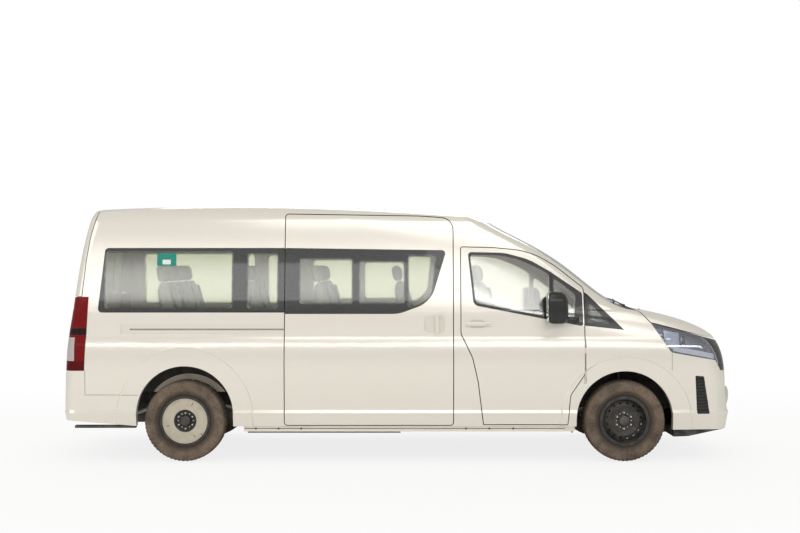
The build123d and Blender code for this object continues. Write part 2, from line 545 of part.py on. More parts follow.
def at_kingpin(z):
    """The point of the right-hand kingpin axis at a height."""
    share = (z - KINGPIN_FOOT[2]) / (KINGPIN_HEAD[2] - KINGPIN_FOOT[2])
    return (FRONT_AXLE, -KINGPIN_FOOT[1] - (KINGPIN_HEAD[1] - KINGPIN_FOOT[1]) * share, z)


def wheelhouse(x, z, near, low):
    """The lining over one wheel, with its inner wall."""
    tunnel = rod((x, -near, z), (x, -FAR, z), HOUSE_RADIUS + SHEET)
    hollow = rod((x, -near - SHEET, z), (x, -FAR, z), HOUSE_RADIUS)
    return ((tunnel - hollow) & block(x - 600, x + 600, 0, -FAR, low, z + 600)) & cavity


STRUT_ROD = 11.0
front_house = wheelhouse(FRONT_AXLE, FRONT_ARCH_Z, FRONT_HOUSE_INNER, FRONT_ARCH_Z + 60)
tower = rod(at_kingpin(835), at_kingpin(872), 55.0)
front_house = front_house - block(FRONT_AXLE - 200, FRONT_AXLE + 200, 0, -FRONT_HOUSE_INNER - SHEET - 0.1, 0, 560)
front_house = (front_house + tower) - rod(at_kingpin(600), at_kingpin(1000), STRUT_ROD + PIN_GAP)
rear_house = wheelhouse(REAR_AXLE, REAR_ARCH_Z, REAR_HOUSE_INNER, FLOOR_BOTTOM)
house_cuts = [
    rod((FRONT_AXLE, -FRONT_HOUSE_INNER, FRONT_ARCH_Z), (FRONT_AXLE, -FAR, FRONT_ARCH_Z), HOUSE_RADIUS + SHEET),
    rod((REAR_AXLE, -REAR_HOUSE_INNER, REAR_ARCH_Z), (REAR_AXLE, -FAR, REAR_ARCH_Z), HOUSE_RADIUS + SHEET),
]
floor = cavity & block(TAIL + 70, FIREWALL_X - 10, -FAR, FAR, FLOOR_BOTTOM, FLOOR_TOP)
firewall = cavity & block(FIREWALL_X - 10, FIREWALL_X + 10, -FAR, FAR, FLOOR_BOTTOM, BELT_Z - 60)
for cut in house_cuts:
    floor = floor - cut - left_of(cut)
firewall = firewall - house_cuts[0] - left_of(house_cuts[0])

# ---- ladder frame --------------------------------------------------------------------------
RAIL_Y = 455.0
RAIL_HALF = 35.0
RAIL_LOW = 480.0
RAIL_TOP = FLOOR_BOTTOM - PIN_GAP
SILL_RAIL_Y = 825.0
frame = block(TAIL + 160, FRONT_AXLE + 600, -RAIL_Y - RAIL_HALF, -RAIL_Y + RAIL_HALF, RAIL_LOW, RAIL_TOP)
sill_rail = block(REAR_AXLE + 520, FRONT_AXLE - 530, -SILL_RAIL_Y - 25, -SILL_RAIL_Y + 25, 262, RAIL_TOP)
frame = frame + sill_rail
frame = frame + left_of(frame)
Cross = namedtuple("Cross", "x reach")   # place along the body and half length of each cross member
CROSS_LOW = 510.0
CROSS_MEMBERS = [
    Cross(TAIL + 190, 790), Cross(REAR_AXLE + 620, 850), Cross(REAR_AXLE + 2300, 850), Cross(FRONT_AXLE - 600, 850),
    Cross(FRONT_AXLE + 560, 490),
]
for member in CROSS_MEMBERS:
    frame = frame + block(member.x - 40, member.x + 40, -member.reach, member.reach, CROSS_LOW, RAIL_TOP - 10)

TOW_HOLE = 6.5
tow_face = TAIL + 190 - 40
for y in (-300, 300):                        # tow bar holes in the rear cross member
    for z in (530, 560):
        frame = frame - rod((tow_face - 10, y, z), (tow_face + 90, y, z), TOW_HOLE)

# ---- front suspension, knuckles and steering ------------------------------------------------
arm_foot = at_kingpin(KINGPIN_FOOT[2])
subframe = block(FRONT_AXLE - 90, FRONT_AXLE + 90, -420, 420, 240, 330)
for side_sign in (-1, 1):
    subframe = subframe + block(FRONT_AXLE - 60, FRONT_AXLE + 60, side_sign * 420, side_sign * 480, 240, RAIL_LOW - PIN_GAP)
    arm = outline(Plane.XY.offset(225), [
        (FRONT_AXLE - 150, side_sign * 470), (FRONT_AXLE + 110, side_sign * 470),
        (FRONT_AXLE + 30, side_sign * 735), (FRONT_AXLE - 30, side_sign * 735)], radius=12)
    subframe = subframe + extrude(arm, amount=26)
    subframe = subframe + rod((FRONT_AXLE - 190, side_sign * 470, 250), (FRONT_AXLE + 190, side_sign * 470, 250), 28)
ball = rod(at_kingpin(215), at_kingpin(258), 27)
ball_bore = rod(at_kingpin(180), at_kingpin(300), 10 + PIN_GAP)
subframe = (subframe + ball + left_of(ball)) - ball_bore - left_of(ball_bore)

DISC = 8.0                                     # thickness of the wheel disc and its weld bead
HUB_FACE = WHEEL_Y + 40.0                      # where the wheel disc is bolted on
knuckle = rod(at_kingpin(217), at_kingpin(262), 10)
knuckle = knuckle + rod(at_kingpin(261), at_kingpin(330), 24)
knuckle = knuckle + rod((FRONT_AXLE, at_kingpin(356)[1] + 20, TYRE_RADIUS), (FRONT_AXLE, -HUB_FACE + 60, TYRE_RADIUS), 62)
knuckle = knuckle + rod((FRONT_AXLE, -HUB_FACE + 62, TYRE_RADIUS), (FRONT_AXLE, PIN_GAP - HUB_FACE, TYRE_RADIUS), 52)
knuckle = knuckle + rod((FRONT_AXLE, -HUB_FACE + 36, TYRE_RADIUS), (FRONT_AXLE, -HUB_FACE + 14, TYRE_RADIUS), 142)
knuckle = knuckle + rod(at_kingpin(330), at_kingpin(640), 26)
knuckle = knuckle + rod(at_kingpin(630), at_kingpin(871), STRUT_ROD)

# ---- rear axle, springs, driveline ----------------------------------------------------------
AXLE_TUBE = 45.0
SPRING_Y = RAIL_Y
SPRING_REACH = 640.0
SPRING_EYE_Z = RAIL_LOW - 30 - PIN_GAP
rear_axle = rod((REAR_AXLE, -HUB_FACE + 60, TYRE_RADIUS), (REAR_AXLE, HUB_FACE - 60, TYRE_RADIUS), AXLE_TUBE)
rear_axle = rear_axle + Pos(REAR_AXLE, 0, TYRE_RADIUS) * Sphere(150)
rear_axle = rear_axle + rod((REAR_AXLE, 0, TYRE_RADIUS), (REAR_AXLE + 230, 0, TYRE_RADIUS), 55)
for side_sign in (-1, 1):
    plate = (REAR_AXLE, side_sign * (HUB_FACE - 62), TYRE_RADIUS)
    rear_axle = rear_axle + rod(plate, (REAR_AXLE, side_sign * (HUB_FACE - 14), TYRE_RADIUS), 135)
    rear_axle = rear_axle + rod(plate, (REAR_AXLE, side_sign * (HUB_FACE - PIN_GAP), TYRE_RADIUS), 52)
    pad = block(REAR_AXLE - 60, REAR_AXLE + 60, side_sign * (SPRING_Y - 32), side_sign * (SPRING_Y + 32), TYRE_RADIUS, TYRE_RADIUS + 50)
    rear_axle = rear_axle + pad


def leaf_spring():
    """A leaf pack with an eye at each end and the hangers that carry it under the rail."""
    bed = TYRE_RADIUS + 50 + PIN_GAP
    with BuildSketch(Plane.XZ.offset(SPRING_Y - 30)) as sketch:
        with BuildLine():
            ThreePointArc((REAR_AXLE - SPRING_REACH, SPRING_EYE_Z), (REAR_AXLE, bed), (REAR_AXLE + SPRING_REACH, SPRING_EYE_Z))
            Line((REAR_AXLE + SPRING_REACH, SPRING_EYE_Z), (REAR_AXLE + SPRING_REACH, SPRING_EYE_Z + 12))
            ThreePointArc((REAR_AXLE + SPRING_REACH, SPRING_EYE_Z + 12), (REAR_AXLE, bed + 24), (REAR_AXLE - SPRING_REACH, SPRING_EYE_Z + 12))
            Line((REAR_AXLE - SPRING_REACH, SPRING_EYE_Z + 12), (REAR_AXLE - SPRING_REACH, SPRING_EYE_Z))
        make_face()
    spring = extrude(sketch.sketch, amount=60)
    for end in (-1, 1):
        eye = (REAR_AXLE + end * SPRING_REACH, -SPRING_Y + 30, SPRING_EYE_Z + 6)
        spring = spring + rod(eye, (eye[0], eye[1] - 60, eye[2]), 24)
    return spring


spring = leaf_spring()
diff_end = REAR_AXLE + 230 + PIN_GAP
GEARBOX_END = FRONT_AXLE - 740.0
propshaft = rod((diff_end + 1, 0, TYRE_RADIUS), (GEARBOX_END - 1.2, 0, 430), 36)
engine = block(FRONT_AXLE - 60, FRONT_AXLE + 500, -290, 290, 330 + PIN_GAP, 1000)
engine = chamfer(engine.edges().filter_by(Axis.X), length=60)
engine = engine + block(GEARBOX_END, FRONT_AXLE - 50, -120, 120, 345, CROSS_LOW - PIN_GAP)
fuel_tank = block(REAR_AXLE + 900, REAR_AXLE + 2080, RAIL_Y + RAIL_HALF + PIN_GAP, SILL_RAIL_Y - 25 - PIN_GAP, 320, 560)
fuel_tank = fillet(fuel_tank.edges().filter_by(Axis.X), radius=50)
exhaust = rod((REAR_AXLE + 1100, -645, 400), (REAR_AXLE + 1750, -645, 400), 85)
for start, end in (
    ((REAR_AXLE + 1740, -645, 400), (REAR_AXLE + 2420, -645, 400)),
    ((REAR_AXLE + 2420, -645, 400), (FRONT_AXLE - 780, -230, 400)),
    ((FRONT_AXLE - 780, -230, 400), (FRONT_AXLE - 60 - PIN_GAP, -230, 400)),
    ((REAR_AXLE + 1110, -645, 400), (REAR_AXLE + 480, -600, 400)),
    ((REAR_AXLE + 480, -600, 400), (REAR_AXLE + 180, -600, 500)),
    ((REAR_AXLE + 180, -600, 500), (REAR_AXLE - 180, -600, 500)),
    ((REAR_AXLE - 180, -600, 500), (REAR_AXLE - 480, -600, 400)),
    ((REAR_AXLE - 480, -600, 400), (TAIL + 90, -600, 400)),
):
    exhaust = exhaust + rod(start, end, 26) + Pos(*start) * Sphere(26)
for x in (REAR_AXLE + 620, TAIL + 190):      # hangers under two cross members
    exhaust = exhaust + block(x - 12, x + 12, -624, -598, 405, CROSS_LOW - PIN_GAP)

# ---- wheels ---------------------------------------------------------------------------------
def turned(x, profile):
    """A solid of revolution about a right-hand wheel's axle. profile: (radius, |y|)."""
    with BuildSketch(Plane.XY) as sketch:
        with BuildLine():
            Polyline(*[(x + r, -y) for r, y in profile], close=True)
        make_face()
    body = revolve(sketch.sketch, axis=Axis((x, 0, 0), (0, 1, 0)), revolution_arc=360)
    return Pos(0, 0, TYRE_RADIUS) * body


TYRE_SIDES = 60


def many_sided(x, stations, across_flats):
    """A straight-sided solid about a right-hand wheel's axle. stations: (radius, |y|)."""
    sections = []
    for r, y in stations:
        plane = Plane((x, -y, TYRE_RADIUS), x_dir=(1, 0, 0), z_dir=(0, -1, 0))
        sections.append((plane * RegularPolygon(r, TYRE_SIDES, major_radius=not across_flats)).faces()[0])
    return loft(sections, ruled=True)


def tyre(x):
    inner, outer_y = WHEEL_Y - TYRE_WIDTH / 2, WHEEL_Y + TYRE_WIDTH / 2
    half_rim = RIM_WIDTH / 2
    tread = many_sided(x, [
        (TYRE_RADIUS - 40, inner), (TYRE_RADIUS - 8, inner + 16), (TYRE_RADIUS, inner + 40),
        (TYRE_RADIUS, outer_y - 40), (TYRE_RADIUS - 8, outer_y - 16), (TYRE_RADIUS - 40, outer_y)], False)
    bore = many_sided(x, [
        (RIM_LIP + 50, inner), (RIM_LIP + PIN_GAP, WHEEL_Y - half_rim), (RIM_SEAT, WHEEL_Y - half_rim + 14),
        (RIM_SEAT, WHEEL_Y + half_rim - 14), (RIM_LIP + PIN_GAP, WHEEL_Y + half_rim), (RIM_LIP + 50, outer_y)], True)
    return tread - bore


def rim(x, dish, holes, hole_circle, hole_radius):
    """A pressed steel wheel. dish: how far the disc's shoulder stands out from the hub face."""
    half_rim = RIM_WIDTH / 2
    wall = 5.0
    out, back = WHEEL_Y + half_rim, WHEEL_Y - half_rim
    barrel = turned(x, [
        (RIM_SEAT - PIN_GAP, back + 13), (RIM_LIP - 4, back - 1), (RIM_LIP, back - 1), (RIM_LIP, back - 8),
        (RIM_SEAT - wall - 6, back - 8), (RIM_SEAT - wall - 20, back + 40), (RIM_SEAT - wall - 20, out - 50),
        (RIM_SEAT - wall - 6, out - 16), (RIM_SEAT - wall - 6, out + 8), (RIM_LIP, out + 8), (RIM_LIP, out + 1),
        (RIM_LIP - 4, out + 1), (RIM_SEAT - PIN_GAP, out - 13), (RIM_SEAT - 17, out - 52), (RIM_SEAT - 17, back + 42)])
    face = HUB_FACE + DISC
    edge = RIM_SEAT - wall - 16
    disc = turned(x, [
        (HUB_BORE / 2, HUB_FACE), (95, HUB_FACE), (128, face + dish - 6), (edge + 0.5, face + dish - 24),
        (edge + 0.5, face + dish - 16), (132, face + dish + 2), (93, face), (HUB_BORE / 2, face)])
    wheel = barrel + disc
    for i in range(6):
        spot = Vector(STUD_CIRCLE / 2, 0, 0).rotate(Axis.Y, 60 * i)
        start = (x + spot.X, -(face - 20), TYRE_RADIUS + spot.Z)
        wheel = wheel - rod(start, (start[0], -(face + 20), start[2]), STUD_HOLE / 2)
    for i in range(holes):
        spot = Vector(hole_circle, 0, 0).rotate(Axis.Y, 360 / holes * (i + 0.5))
        start = (x + spot.X, -(face - 60), TYRE_RADIUS + spot.Z)
        wheel = wheel - rod(start, (start[0], -(face + 90), start[2]), hole_radius)
    return wheel


front_tyre, rear_tyre = tyre(FRONT_AXLE), tyre(REAR_AXLE)
front_rim = rim(FRONT_AXLE, 12, 16, 152, 10)
rear_rim = rim(REAR_AXLE, 12, 6, 152, 10)
cover_y = WHEEL_Y + RIM_WIDTH / 2 - 2                # outer face of the flat cover ring
cover = turned(REAR_AXLE, [
    (100, cover_y - 5), (RIM_SEAT - 8, cover_y - 5), (RIM_SEAT - 8, cover_y), (100, cover_y)])
rear_rim = rear_rim + cover

# ---- cabin ------------------------------------------------------------------------------------
dash_profile = [
    (FIREWALL_X - 10 - PIN_GAP, 880), (FIREWALL_X - 10 - PIN_GAP, 1225), (FIREWALL_X - 260, 1215),
    (FIREWALL_X - 385, 1130), (FIREWALL_X - 400, 1000), (FIREWALL_X - 320, 900), (FIREWALL_X - 200, 840),
]
dashboard = extrude(outline(Plane.XZ.offset(-850), dash_profile, radius=[6, 60, 40, 50, 40, 40, 10]), amount=1700)
dashboard = dashboard - house_cuts[0] - left_of(house_cuts[0])
WHEEL_SEAT_Y = 430.0
column_foot = (FIREWALL_X - 265, WHEEL_SEAT_Y, 1110)
column_head = (FIREWALL_X - 520, WHEEL_SEAT_Y, 1275)
wheel_plane = Plane(Vector(*column_head), z_dir=Vector(*column_head) - Vector(*column_foot))
steering_wheel = wheel_plane * Torus(185, 15)
steering_wheel = steering_wheel + wheel_plane * Box(360, 40, 16) + wheel_plane * Cylinder(55, 30)
column = rod(column_foot, column_head, 26) - dashboard
steering_wheel = steering_wheel + column


def seat(x, y, width, base=300.0, height=1100.0):
    """A seat with its back, above the floor. x is where the back meets the cushion."""
    z = FLOOR_TOP + base
    profile = [
        (x - 60, z), (x + 440, z), (x + 450, z + 125), (x + 40, z + 100), (x - 110, FLOOR_TOP + height),
        (x - 210, FLOOR_TOP + height - 15), (x - 100, z + 90)]
    face = outline(Plane.XZ.offset(-(y + width / 2)), profile, radius=[20, 40, 40, 40, 30, 30, 60])
    return extrude(face, amount=width)


def legs(x, y, width, base=300.0):
    """The steel stand under a seat, on the floor."""
    top = FLOOR_TOP + base - PIN_GAP
    limit = REAR_HOUSE_INNER - 40
    right, left = max(y - width / 2 + 40, -limit), min(y + width / 2 - 40, limit)
    stand = block(x - 20, x + 400, right - 15, left + 15, top - 30, top)
    for edge in (right, left):
        stand = stand + block(x, x + 360, edge - 15, edge + 15, FLOOR_TOP, top - 30)
    return stand


Seat = namedtuple("Seat", "row x y width")     # row name, back of the cushion, middle and width
SEATS = [
    Seat("front_seats", FRONT_AXLE - 1150, WHEEL_SEAT_Y, 480),
    Seat("front_seats", FRONT_AXLE - 1150, -330, 860),
    Seat("rear_seats", REAR_AXLE + 1980, 370, 860), Seat("rear_seats", REAR_AXLE + 1260, 370, 860),
    Seat("rear_seats", REAR_AXLE + 1260, -560, 430),
    Seat("rear_seats", REAR_AXLE + 540, 370, 860), Seat("rear_seats", REAR_AXLE + 540, -560, 430),
    Seat("rear_seats", REAR_AXLE - 130, 410, 820), Seat("rear_seats", REAR_AXLE - 130, -410, 800),
]
rows = {}
stands = []
for s in SEATS:
    rows.setdefault(s.row, []).append(seat(s.x, s.y, s.width))
    stands.append(legs(s.x, s.y, s.width))

# ---- written pieces ---------------------------------------------------------------------------
under_tray = cross_prism([
    (FRONT_AXLE + 352, 204), (FRONT_AXLE + 579, 213), (FRONT_AXLE + 886, 280), (BUMPER_SEAM, 280), (FRONT_AXLE + 352, 270)])
under_tray = under_tray & (block(FRONT_AXLE, NOSE, -520, 520, 0, 300) + block(FRONT_AXLE + 448, NOSE, -850, 850, 0, 300))

os.makedirs("parts", exist_ok=True)
for name, piece in {
    "roof": roof, "side_right": side_right, "side_left": side_left, "sliding_door": sliding_door,
    "bonnet": bonnet, "cowl": cowl, "grille": grille_panel, "lower_grille": lower_grille, "front_bumper": front_bumper,
    "headlamps": keep(headlamp, left_of(headlamp)), "fender_right": fender, "fender_left": left_of(fender),
    "door_right": door, "door_left": left_of(door), "tailgate": tailgate, "tailgate_glass": tail_glass,
    "rear_bumper": rear_bumper, "tail_lamps": keep(tail_lamp, left_of(tail_lamp)),
    "pillar_trim": keep(trim, left_of(trim)), "windscreen": windscreen, "door_glass_right": door_glass,
    "door_glass_left": left_of(door_glass),
    "side_glass_right": keep(slide_glass, quarter_glass, trim_glass),
    "side_glass_left": left_of(keep(slide_glass, quarter_glass, trim_glass)),
    "mirror_right": mirror_piece, "mirror_left": left_of(mirror_piece), "floor": floor, "firewall": firewall,
    "wheelhouses": keep(front_house, rear_house, left_of(front_house), left_of(rear_house)),
    "frame": frame, "front_subframe": subframe, "knuckle_right": knuckle, "knuckle_left": left_of(knuckle),
    "rear_axle": rear_axle, "leaf_springs": keep(spring, left_of(spring)), "propshaft": propshaft,
    "engine": engine, "fuel_tank": fuel_tank, "exhaust": exhaust, "under_tray": under_tray,
    "dashboard": dashboard, "steering_wheel": steering_wheel, "seat_stands": keep(*stands),
    "tyre_front_right": front_tyre, "tyre_front_left": left_of(front_tyre),
    "tyre_rear_right": rear_tyre, "tyre_rear_left": left_of(rear_tyre),
    "rim_front_right": front_rim, "rim_front_left": left_of(front_rim),
    "rim_rear_right": rear_rim, "rim_rear_left": left_of(rear_rim),
    **{name: keep(*pieces) for name, pieces in rows.items()},
}.items():
    save(name, piece)
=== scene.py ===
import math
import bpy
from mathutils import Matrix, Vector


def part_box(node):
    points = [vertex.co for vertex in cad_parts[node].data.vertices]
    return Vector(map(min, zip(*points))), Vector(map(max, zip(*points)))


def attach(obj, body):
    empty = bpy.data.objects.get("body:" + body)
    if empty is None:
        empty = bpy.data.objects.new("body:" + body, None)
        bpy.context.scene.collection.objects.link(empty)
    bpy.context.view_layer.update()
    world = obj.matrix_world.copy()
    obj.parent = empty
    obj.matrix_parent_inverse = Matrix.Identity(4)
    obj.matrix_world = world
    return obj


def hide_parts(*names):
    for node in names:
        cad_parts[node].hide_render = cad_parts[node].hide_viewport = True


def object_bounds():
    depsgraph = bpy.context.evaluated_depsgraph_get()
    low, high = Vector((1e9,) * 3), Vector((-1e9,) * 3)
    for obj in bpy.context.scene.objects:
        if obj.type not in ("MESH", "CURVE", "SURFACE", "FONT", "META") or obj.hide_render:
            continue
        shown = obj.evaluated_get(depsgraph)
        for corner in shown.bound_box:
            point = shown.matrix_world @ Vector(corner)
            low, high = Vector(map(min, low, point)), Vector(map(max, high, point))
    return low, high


bl_info = {
    "name": "Minibus",
    "version": (1, 0, 0),
    "blender": (4, 2, 0),
    "location": "View3D > Sidebar > Minibus",
    "description": "Builds the finished look of a high-roof minibus around its solid frame",
    "category": "Add Mesh",
}

import bmesh
import bpy
from mathutils import Matrix, Vector
from mathutils.bvhtree import BVHTree

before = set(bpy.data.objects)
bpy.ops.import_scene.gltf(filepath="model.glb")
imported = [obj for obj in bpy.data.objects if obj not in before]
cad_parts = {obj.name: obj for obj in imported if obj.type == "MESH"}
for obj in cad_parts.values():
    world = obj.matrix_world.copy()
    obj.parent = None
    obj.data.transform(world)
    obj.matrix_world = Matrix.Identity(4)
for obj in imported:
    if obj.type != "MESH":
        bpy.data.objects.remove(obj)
CAD_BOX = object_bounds()

# ---- places, in metres: +X to the front, the right-hand side at -Y, +Z up -----------------------
NOSE, TAIL = CAD_BOX[1].x, CAD_BOX[0].x
FRONT_WHEEL = sum(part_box("tyre_front_right"), Vector()) / 2
REAR_WHEEL = sum(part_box("tyre_rear_right"), Vector()) / 2
FRONT_AXLE, REAR_AXLE = FRONT_WHEEL.x, REAR_WHEEL.x
WHEEL_Y, AXLE_Z = abs(FRONT_WHEEL.y), FRONT_WHEEL.z
DOOR_FRONT, DOOR_REAR = FRONT_AXLE - 0.3495, FRONT_AXLE - 1.437
SLIDE_FRONT, SLIDE_REAR = FRONT_AXLE - 1.5025, FRONT_AXLE - 2.9875
BELT, CANT = 1.334, 2.112
GLASS_TOP = CANT - 0.235
SILL, TAIL_LAMP_FOOT = 0.311, 0.801
BUMPER_SEAM, COWL_X, HANDLE_Z = FRONT_AXLE + 0.414, 2.135, 1.207
HUB_OUT, STUD_RADIUS, COVER_OUT = 0.040, 0.06985, 0.087
FLANGE_OUT = 0.915                          # outer face of the sill flange, from the centre line
ARCH_PRIMER = 0.397                         # how far the primer reaches inside a rear arch
COVER_PAINT = 0.197                         # radius of the cream paint on a rear wheel's cover
BEAD_SHADE_FROM, BEAD_SHADE_TO = 0.236, 0.276           # the lower sidewall, kept dark as painted shade of the recess by the rim
SHOULDER_FROM, SHOULDER_TO = 0.334, 0.350   # the shoulder, which the road wipes
PLATE_HALF, PLATE_SCREW = 0.260, 0.145      # a number plate's half width and the place of its screws
DASH_FRONT = FRONT_AXLE - 0.082             # front edge of the dashboard, at the firewall
STEERING = Vector((FRONT_AXLE - 0.602, 0.430, 1.275))
COLUMN = Vector((-0.255, 0, 0.165)).normalized()
SEAT_TOP = 1.068                            # where a seat's back meets its cushion
PROUD = 0.0002                              # how far a line stands out of the skin
FRONT_DOORS = ("front_door_right", "front_door_left")
SIDES = (("right", -1), ("left", 1))


# ---- shader helpers -----------------------------------------------------------------------------
def feed(tree, socket, value):
    """Sets a socket to a value or links it to a level or an output."""
    if isinstance(value, Level):
        value = value.output
    if isinstance(value, bpy.types.NodeSocket):
        tree.links.new(value, socket)
    elif hasattr(value, "__len__"):
        value = tuple(value)
        socket.default_value = (value + (1.0,))[:len(socket.default_value)]
    else:
        socket.default_value = value


class Level:
    """A number that changes over a surface. Arithmetic on it adds Math nodes."""

    def __init__(self, tree, output):
        self.tree = tree
        self.output = output

    def math(self, operation, *values, clamp=False):
        node = self.tree.nodes.new("ShaderNodeMath")
        node.operation = operation
        node.use_clamp = clamp
        for socket, value in zip(node.inputs, values):
            feed(self.tree, socket, value)
        return Level(self.tree, node.outputs[0])

    def __add__(self, other):
        return self.math("ADD", self, other)

    def __radd__(self, other):
        return self.math("ADD", other, self)

    def __sub__(self, other):
        return self.math("SUBTRACT", self, other)

    def __rsub__(self, other):
        return self.math("SUBTRACT", other, self)

    def __mul__(self, other):
        return self.math("MULTIPLY", self, other)

    def __rmul__(self, other):
        return self.math("MULTIPLY", other, self)

    def __truediv__(self, other):
        return self.math("DIVIDE", self, other)

    def __gt__(self, other):
        return self.math("GREATER_THAN", self, other)

    def __lt__(self, other):
        return self.math("LESS_THAN", self, other)

    def __abs__(self):
        return self.math("ABSOLUTE", self)

    def clamp(self):
        return self.math("ADD", self, 0.0, clamp=True)

    def most(self, other):
        return self.math("MAXIMUM", self, other)

    def least(self, other):
        return self.math("MINIMUM", self, other)

    def sine(self):
        return self.math("SINE", self)

    def root(self):
        return self.math("SQRT", self)


class Finish:
    """One material under construction, around a Principled shader."""

    def __init__(self, name, color, roughness=0.5, metallic=0.0, **fixed):
        self.material = bpy.data.materials.new(name)
        self.material.use_nodes = True
        self.tree = self.material.node_tree
        self.tree.nodes.clear()
        self.output = self.tree.nodes.new("ShaderNodeOutputMaterial")
        self.shader = self.tree.nodes.new("ShaderNodeBsdfPrincipled")
        self.show(self.shader.outputs[0])
        self.set("Base Color", color)
        self.set("Roughness", roughness)
        self.set("Metallic", metallic)
        for socket, value in fixed.items():
            self.set(socket.replace("_", " ").title().replace("Ior", "IOR"), value)

    def show(self, closure):
        self.tree.links.new(closure, self.output.inputs["Surface"])

    def set(self, socket, value):
        feed(self.tree, self.shader.inputs[socket], value)

    def node(self, kind, settings=None, **values):
        """Adds a node of a kind, with its settings first and then its sockets' values or links."""
        node = self.tree.nodes.new("ShaderNode" + kind)
        for key, value in (settings or {}).items():
            setattr(node, key, value)
        for key, value in values.items():
            name = key.replace("_", " ")
            socket = node.inputs[int(key[1:])] if key[0] == "i" and key[1:].isdigit() else node.inputs[name]
            feed(self.tree, socket, value)
        return node

    def place(self):
        """The point on the surface, in the frame's own metres."""
        return self.node("TexCoord").outputs["Object"]

    def axes(self):
        split = self.node("SeparateXYZ", Vector=self.place())
        return [Level(self.tree, split.outputs[i]) for i in range(3)]

    def noise(self, scale, detail=3.0, stretch=(1, 1, 1), rough=0.5):
        where = self.node("VectorMath", {"operation": "MULTIPLY"}, i0=self.place(), i1=stretch).outputs[0]
        made = self.node("TexNoise", Vector=where, Scale=scale, Detail=detail, Roughness=rough)
        return Level(self.tree, made.outputs["Fac"])

    def blend(self, share, first, second):
        """A colour between two, by a share from 0 to 1."""
        made = self.node("Mix", {"data_type": "RGBA"}, i0=share, i6=first, i7=second)
        return made.outputs[2]

    def bump(self, height, distance, strength=1.0):
        made = self.node("Bump", Height=height, Distance=distance, Strength=strength)
        self.set("Normal", made.outputs[0])

    def ramp(self, level, low, high):
        """0 below low, 1 above high, straight between."""
        made = self.node("MapRange", {"clamp": True}, Value=level, i1=low, i2=high)
        return Level(self.tree, made.outputs[0])

    def inside(self, flat, outline, soft=0.006, corner=0.05):
        """1 inside a convex outline and 0 outside. flat: the two levels that the outline is drawn in."""
        middle = [sum(p[i] for p in outline) / len(outline) for i in (0, 1)]
        edge = None
        for (ax, ay), (bx, by) in zip(outline, outline[1:] + outline[:1]):
            nx, ny = by - ay, ax - bx
            size = math.hypot(nx, ny)
            nx, ny = nx / size, ny / size
            if nx * (middle[0] - ax) + ny * (middle[1] - ay) > 0:
                nx, ny = -nx, -ny
            side = flat[0] * nx + flat[1] * ny - (nx * ax + ny * ay)
            edge = side if edge is None else edge.math("SMOOTH_MAX", edge, side, corner)
        return (0.5 - edge / soft).clamp()


# ---- finishes -----------------------------------------------------------------------------------
def dusty(finish, color, low=0.30, high=0.80, share=0.35, dust=(0.42, 0.36, 0.28)):
    """Road dust that thins out upwards. Returns the share of dust."""
    _, _, z = finish.axes()
    film = (1.0 - finish.ramp(z, low, high)) * finish.ramp(finish.noise(9.0, 6.0), 0.35, 0.75) * share
    finish.set("Base Color", finish.blend(film, color, dust))
    return film


def body_paint(look):
    f = Finish("body_paint", look.paint, 0.38, coat_weight=0.38, coat_roughness=0.14)
    tone = f.noise(1.7, 2.0)
    base = f.blend(f.ramp(tone, 0.3, 0.7) * 0.12, look.paint, tuple(c * 0.92 for c in look.paint))
    film = dusty(f, base, share=0.16)
    f.set("Roughness", 0.33 + film * 0.9 + f.noise(160.0, 2.0) * 0.05)
    f.bump(f.noise(420.0, 1.0), 0.0002, 0.25)
    return f.material


def plain(name, color, roughness, metallic=0.0, grain=0.0, grain_scale=900.0, dust=0.0, **fixed):
    """A moulded or coated finish with fine grain, tone change and dust."""
    f = Finish(name, color, roughness, metallic, **fixed)
    tone = f.ramp(f.noise(14.0, 5.0), 0.3, 0.7)
    base = f.blend(tone * 0.35, color, tuple(min(1.0, c * 1.3 + 0.008) for c in color))
    f.set("Base Color", base)
    extra = tone * 0.08
    if dust:
        extra = extra + dusty(f, base, 0.1, 1.2, dust) * 0.6
    f.set("Roughness", (roughness - 0.04 + extra).clamp())
    if grain:
        f.bump(f.noise(grain_scale, 2.0), grain)
    return f.material


def tyre_rubber(look):
    f = Finish("tyre_rubber", look.rubber, 0.85, specular_ior_level=0.3)
    patches = f.ramp(f.noise(7.0, 8.0, rough=0.65), 0.36, 0.68)
    fine = f.ramp(f.noise(90.0, 4.0), 0.4, 0.7)
    x, _, z = f.axes()
    dx = abs(x - FRONT_AXLE).least(abs(x - REAR_AXLE))
    dz = z - AXLE_Z
    radius = (dx * dx + dz * dz).root()
    # Painted shade: the lower sidewall by the rim gets no dust, so it stays dark like the shaded recess
    # there. The shoulder stays bare where the road wipes it.
    bead_shade_and_wipe = (1.0 - f.ramp(radius, BEAD_SHADE_FROM, BEAD_SHADE_TO)).most(f.ramp(radius, SHOULDER_FROM, SHOULDER_TO) * 0.55)
    dust = ((patches * 0.55 + fine * 0.30 + 0.12) * (1.0 - bead_shade_and_wipe * 0.85)).clamp()
    f.set("Base Color", f.blend(dust, look.rubber, look.road_dust))
    f.set("Roughness", 0.78 + dust * 0.2)
    f.bump(f.noise(380.0, 3.0), 0.0004)
    return f.material


def steel_disc(name, color, dust, roughness):
    """Painted pressed steel with brake dust and a little rust in spots."""
    f = Finish(name, color, roughness, coat_weight=0.15)
    film = f.ramp(f.noise(16.0, 7.0, rough=0.6), 0.42, 0.75) * 0.6
    rust = f.ramp(f.noise(60.0, 6.0), 0.66, 0.72) * f.ramp(f.noise(9.0, 2.0), 0.5, 0.65)
    base = f.blend(film, color, dust)
    f.set("Base Color", f.blend(rust * 0.8, base, (0.16, 0.06, 0.02)))
    f.set("Roughness", roughness + film * 0.4)
    f.bump(f.noise(260.0, 3.0), 0.0003)
    return f.material


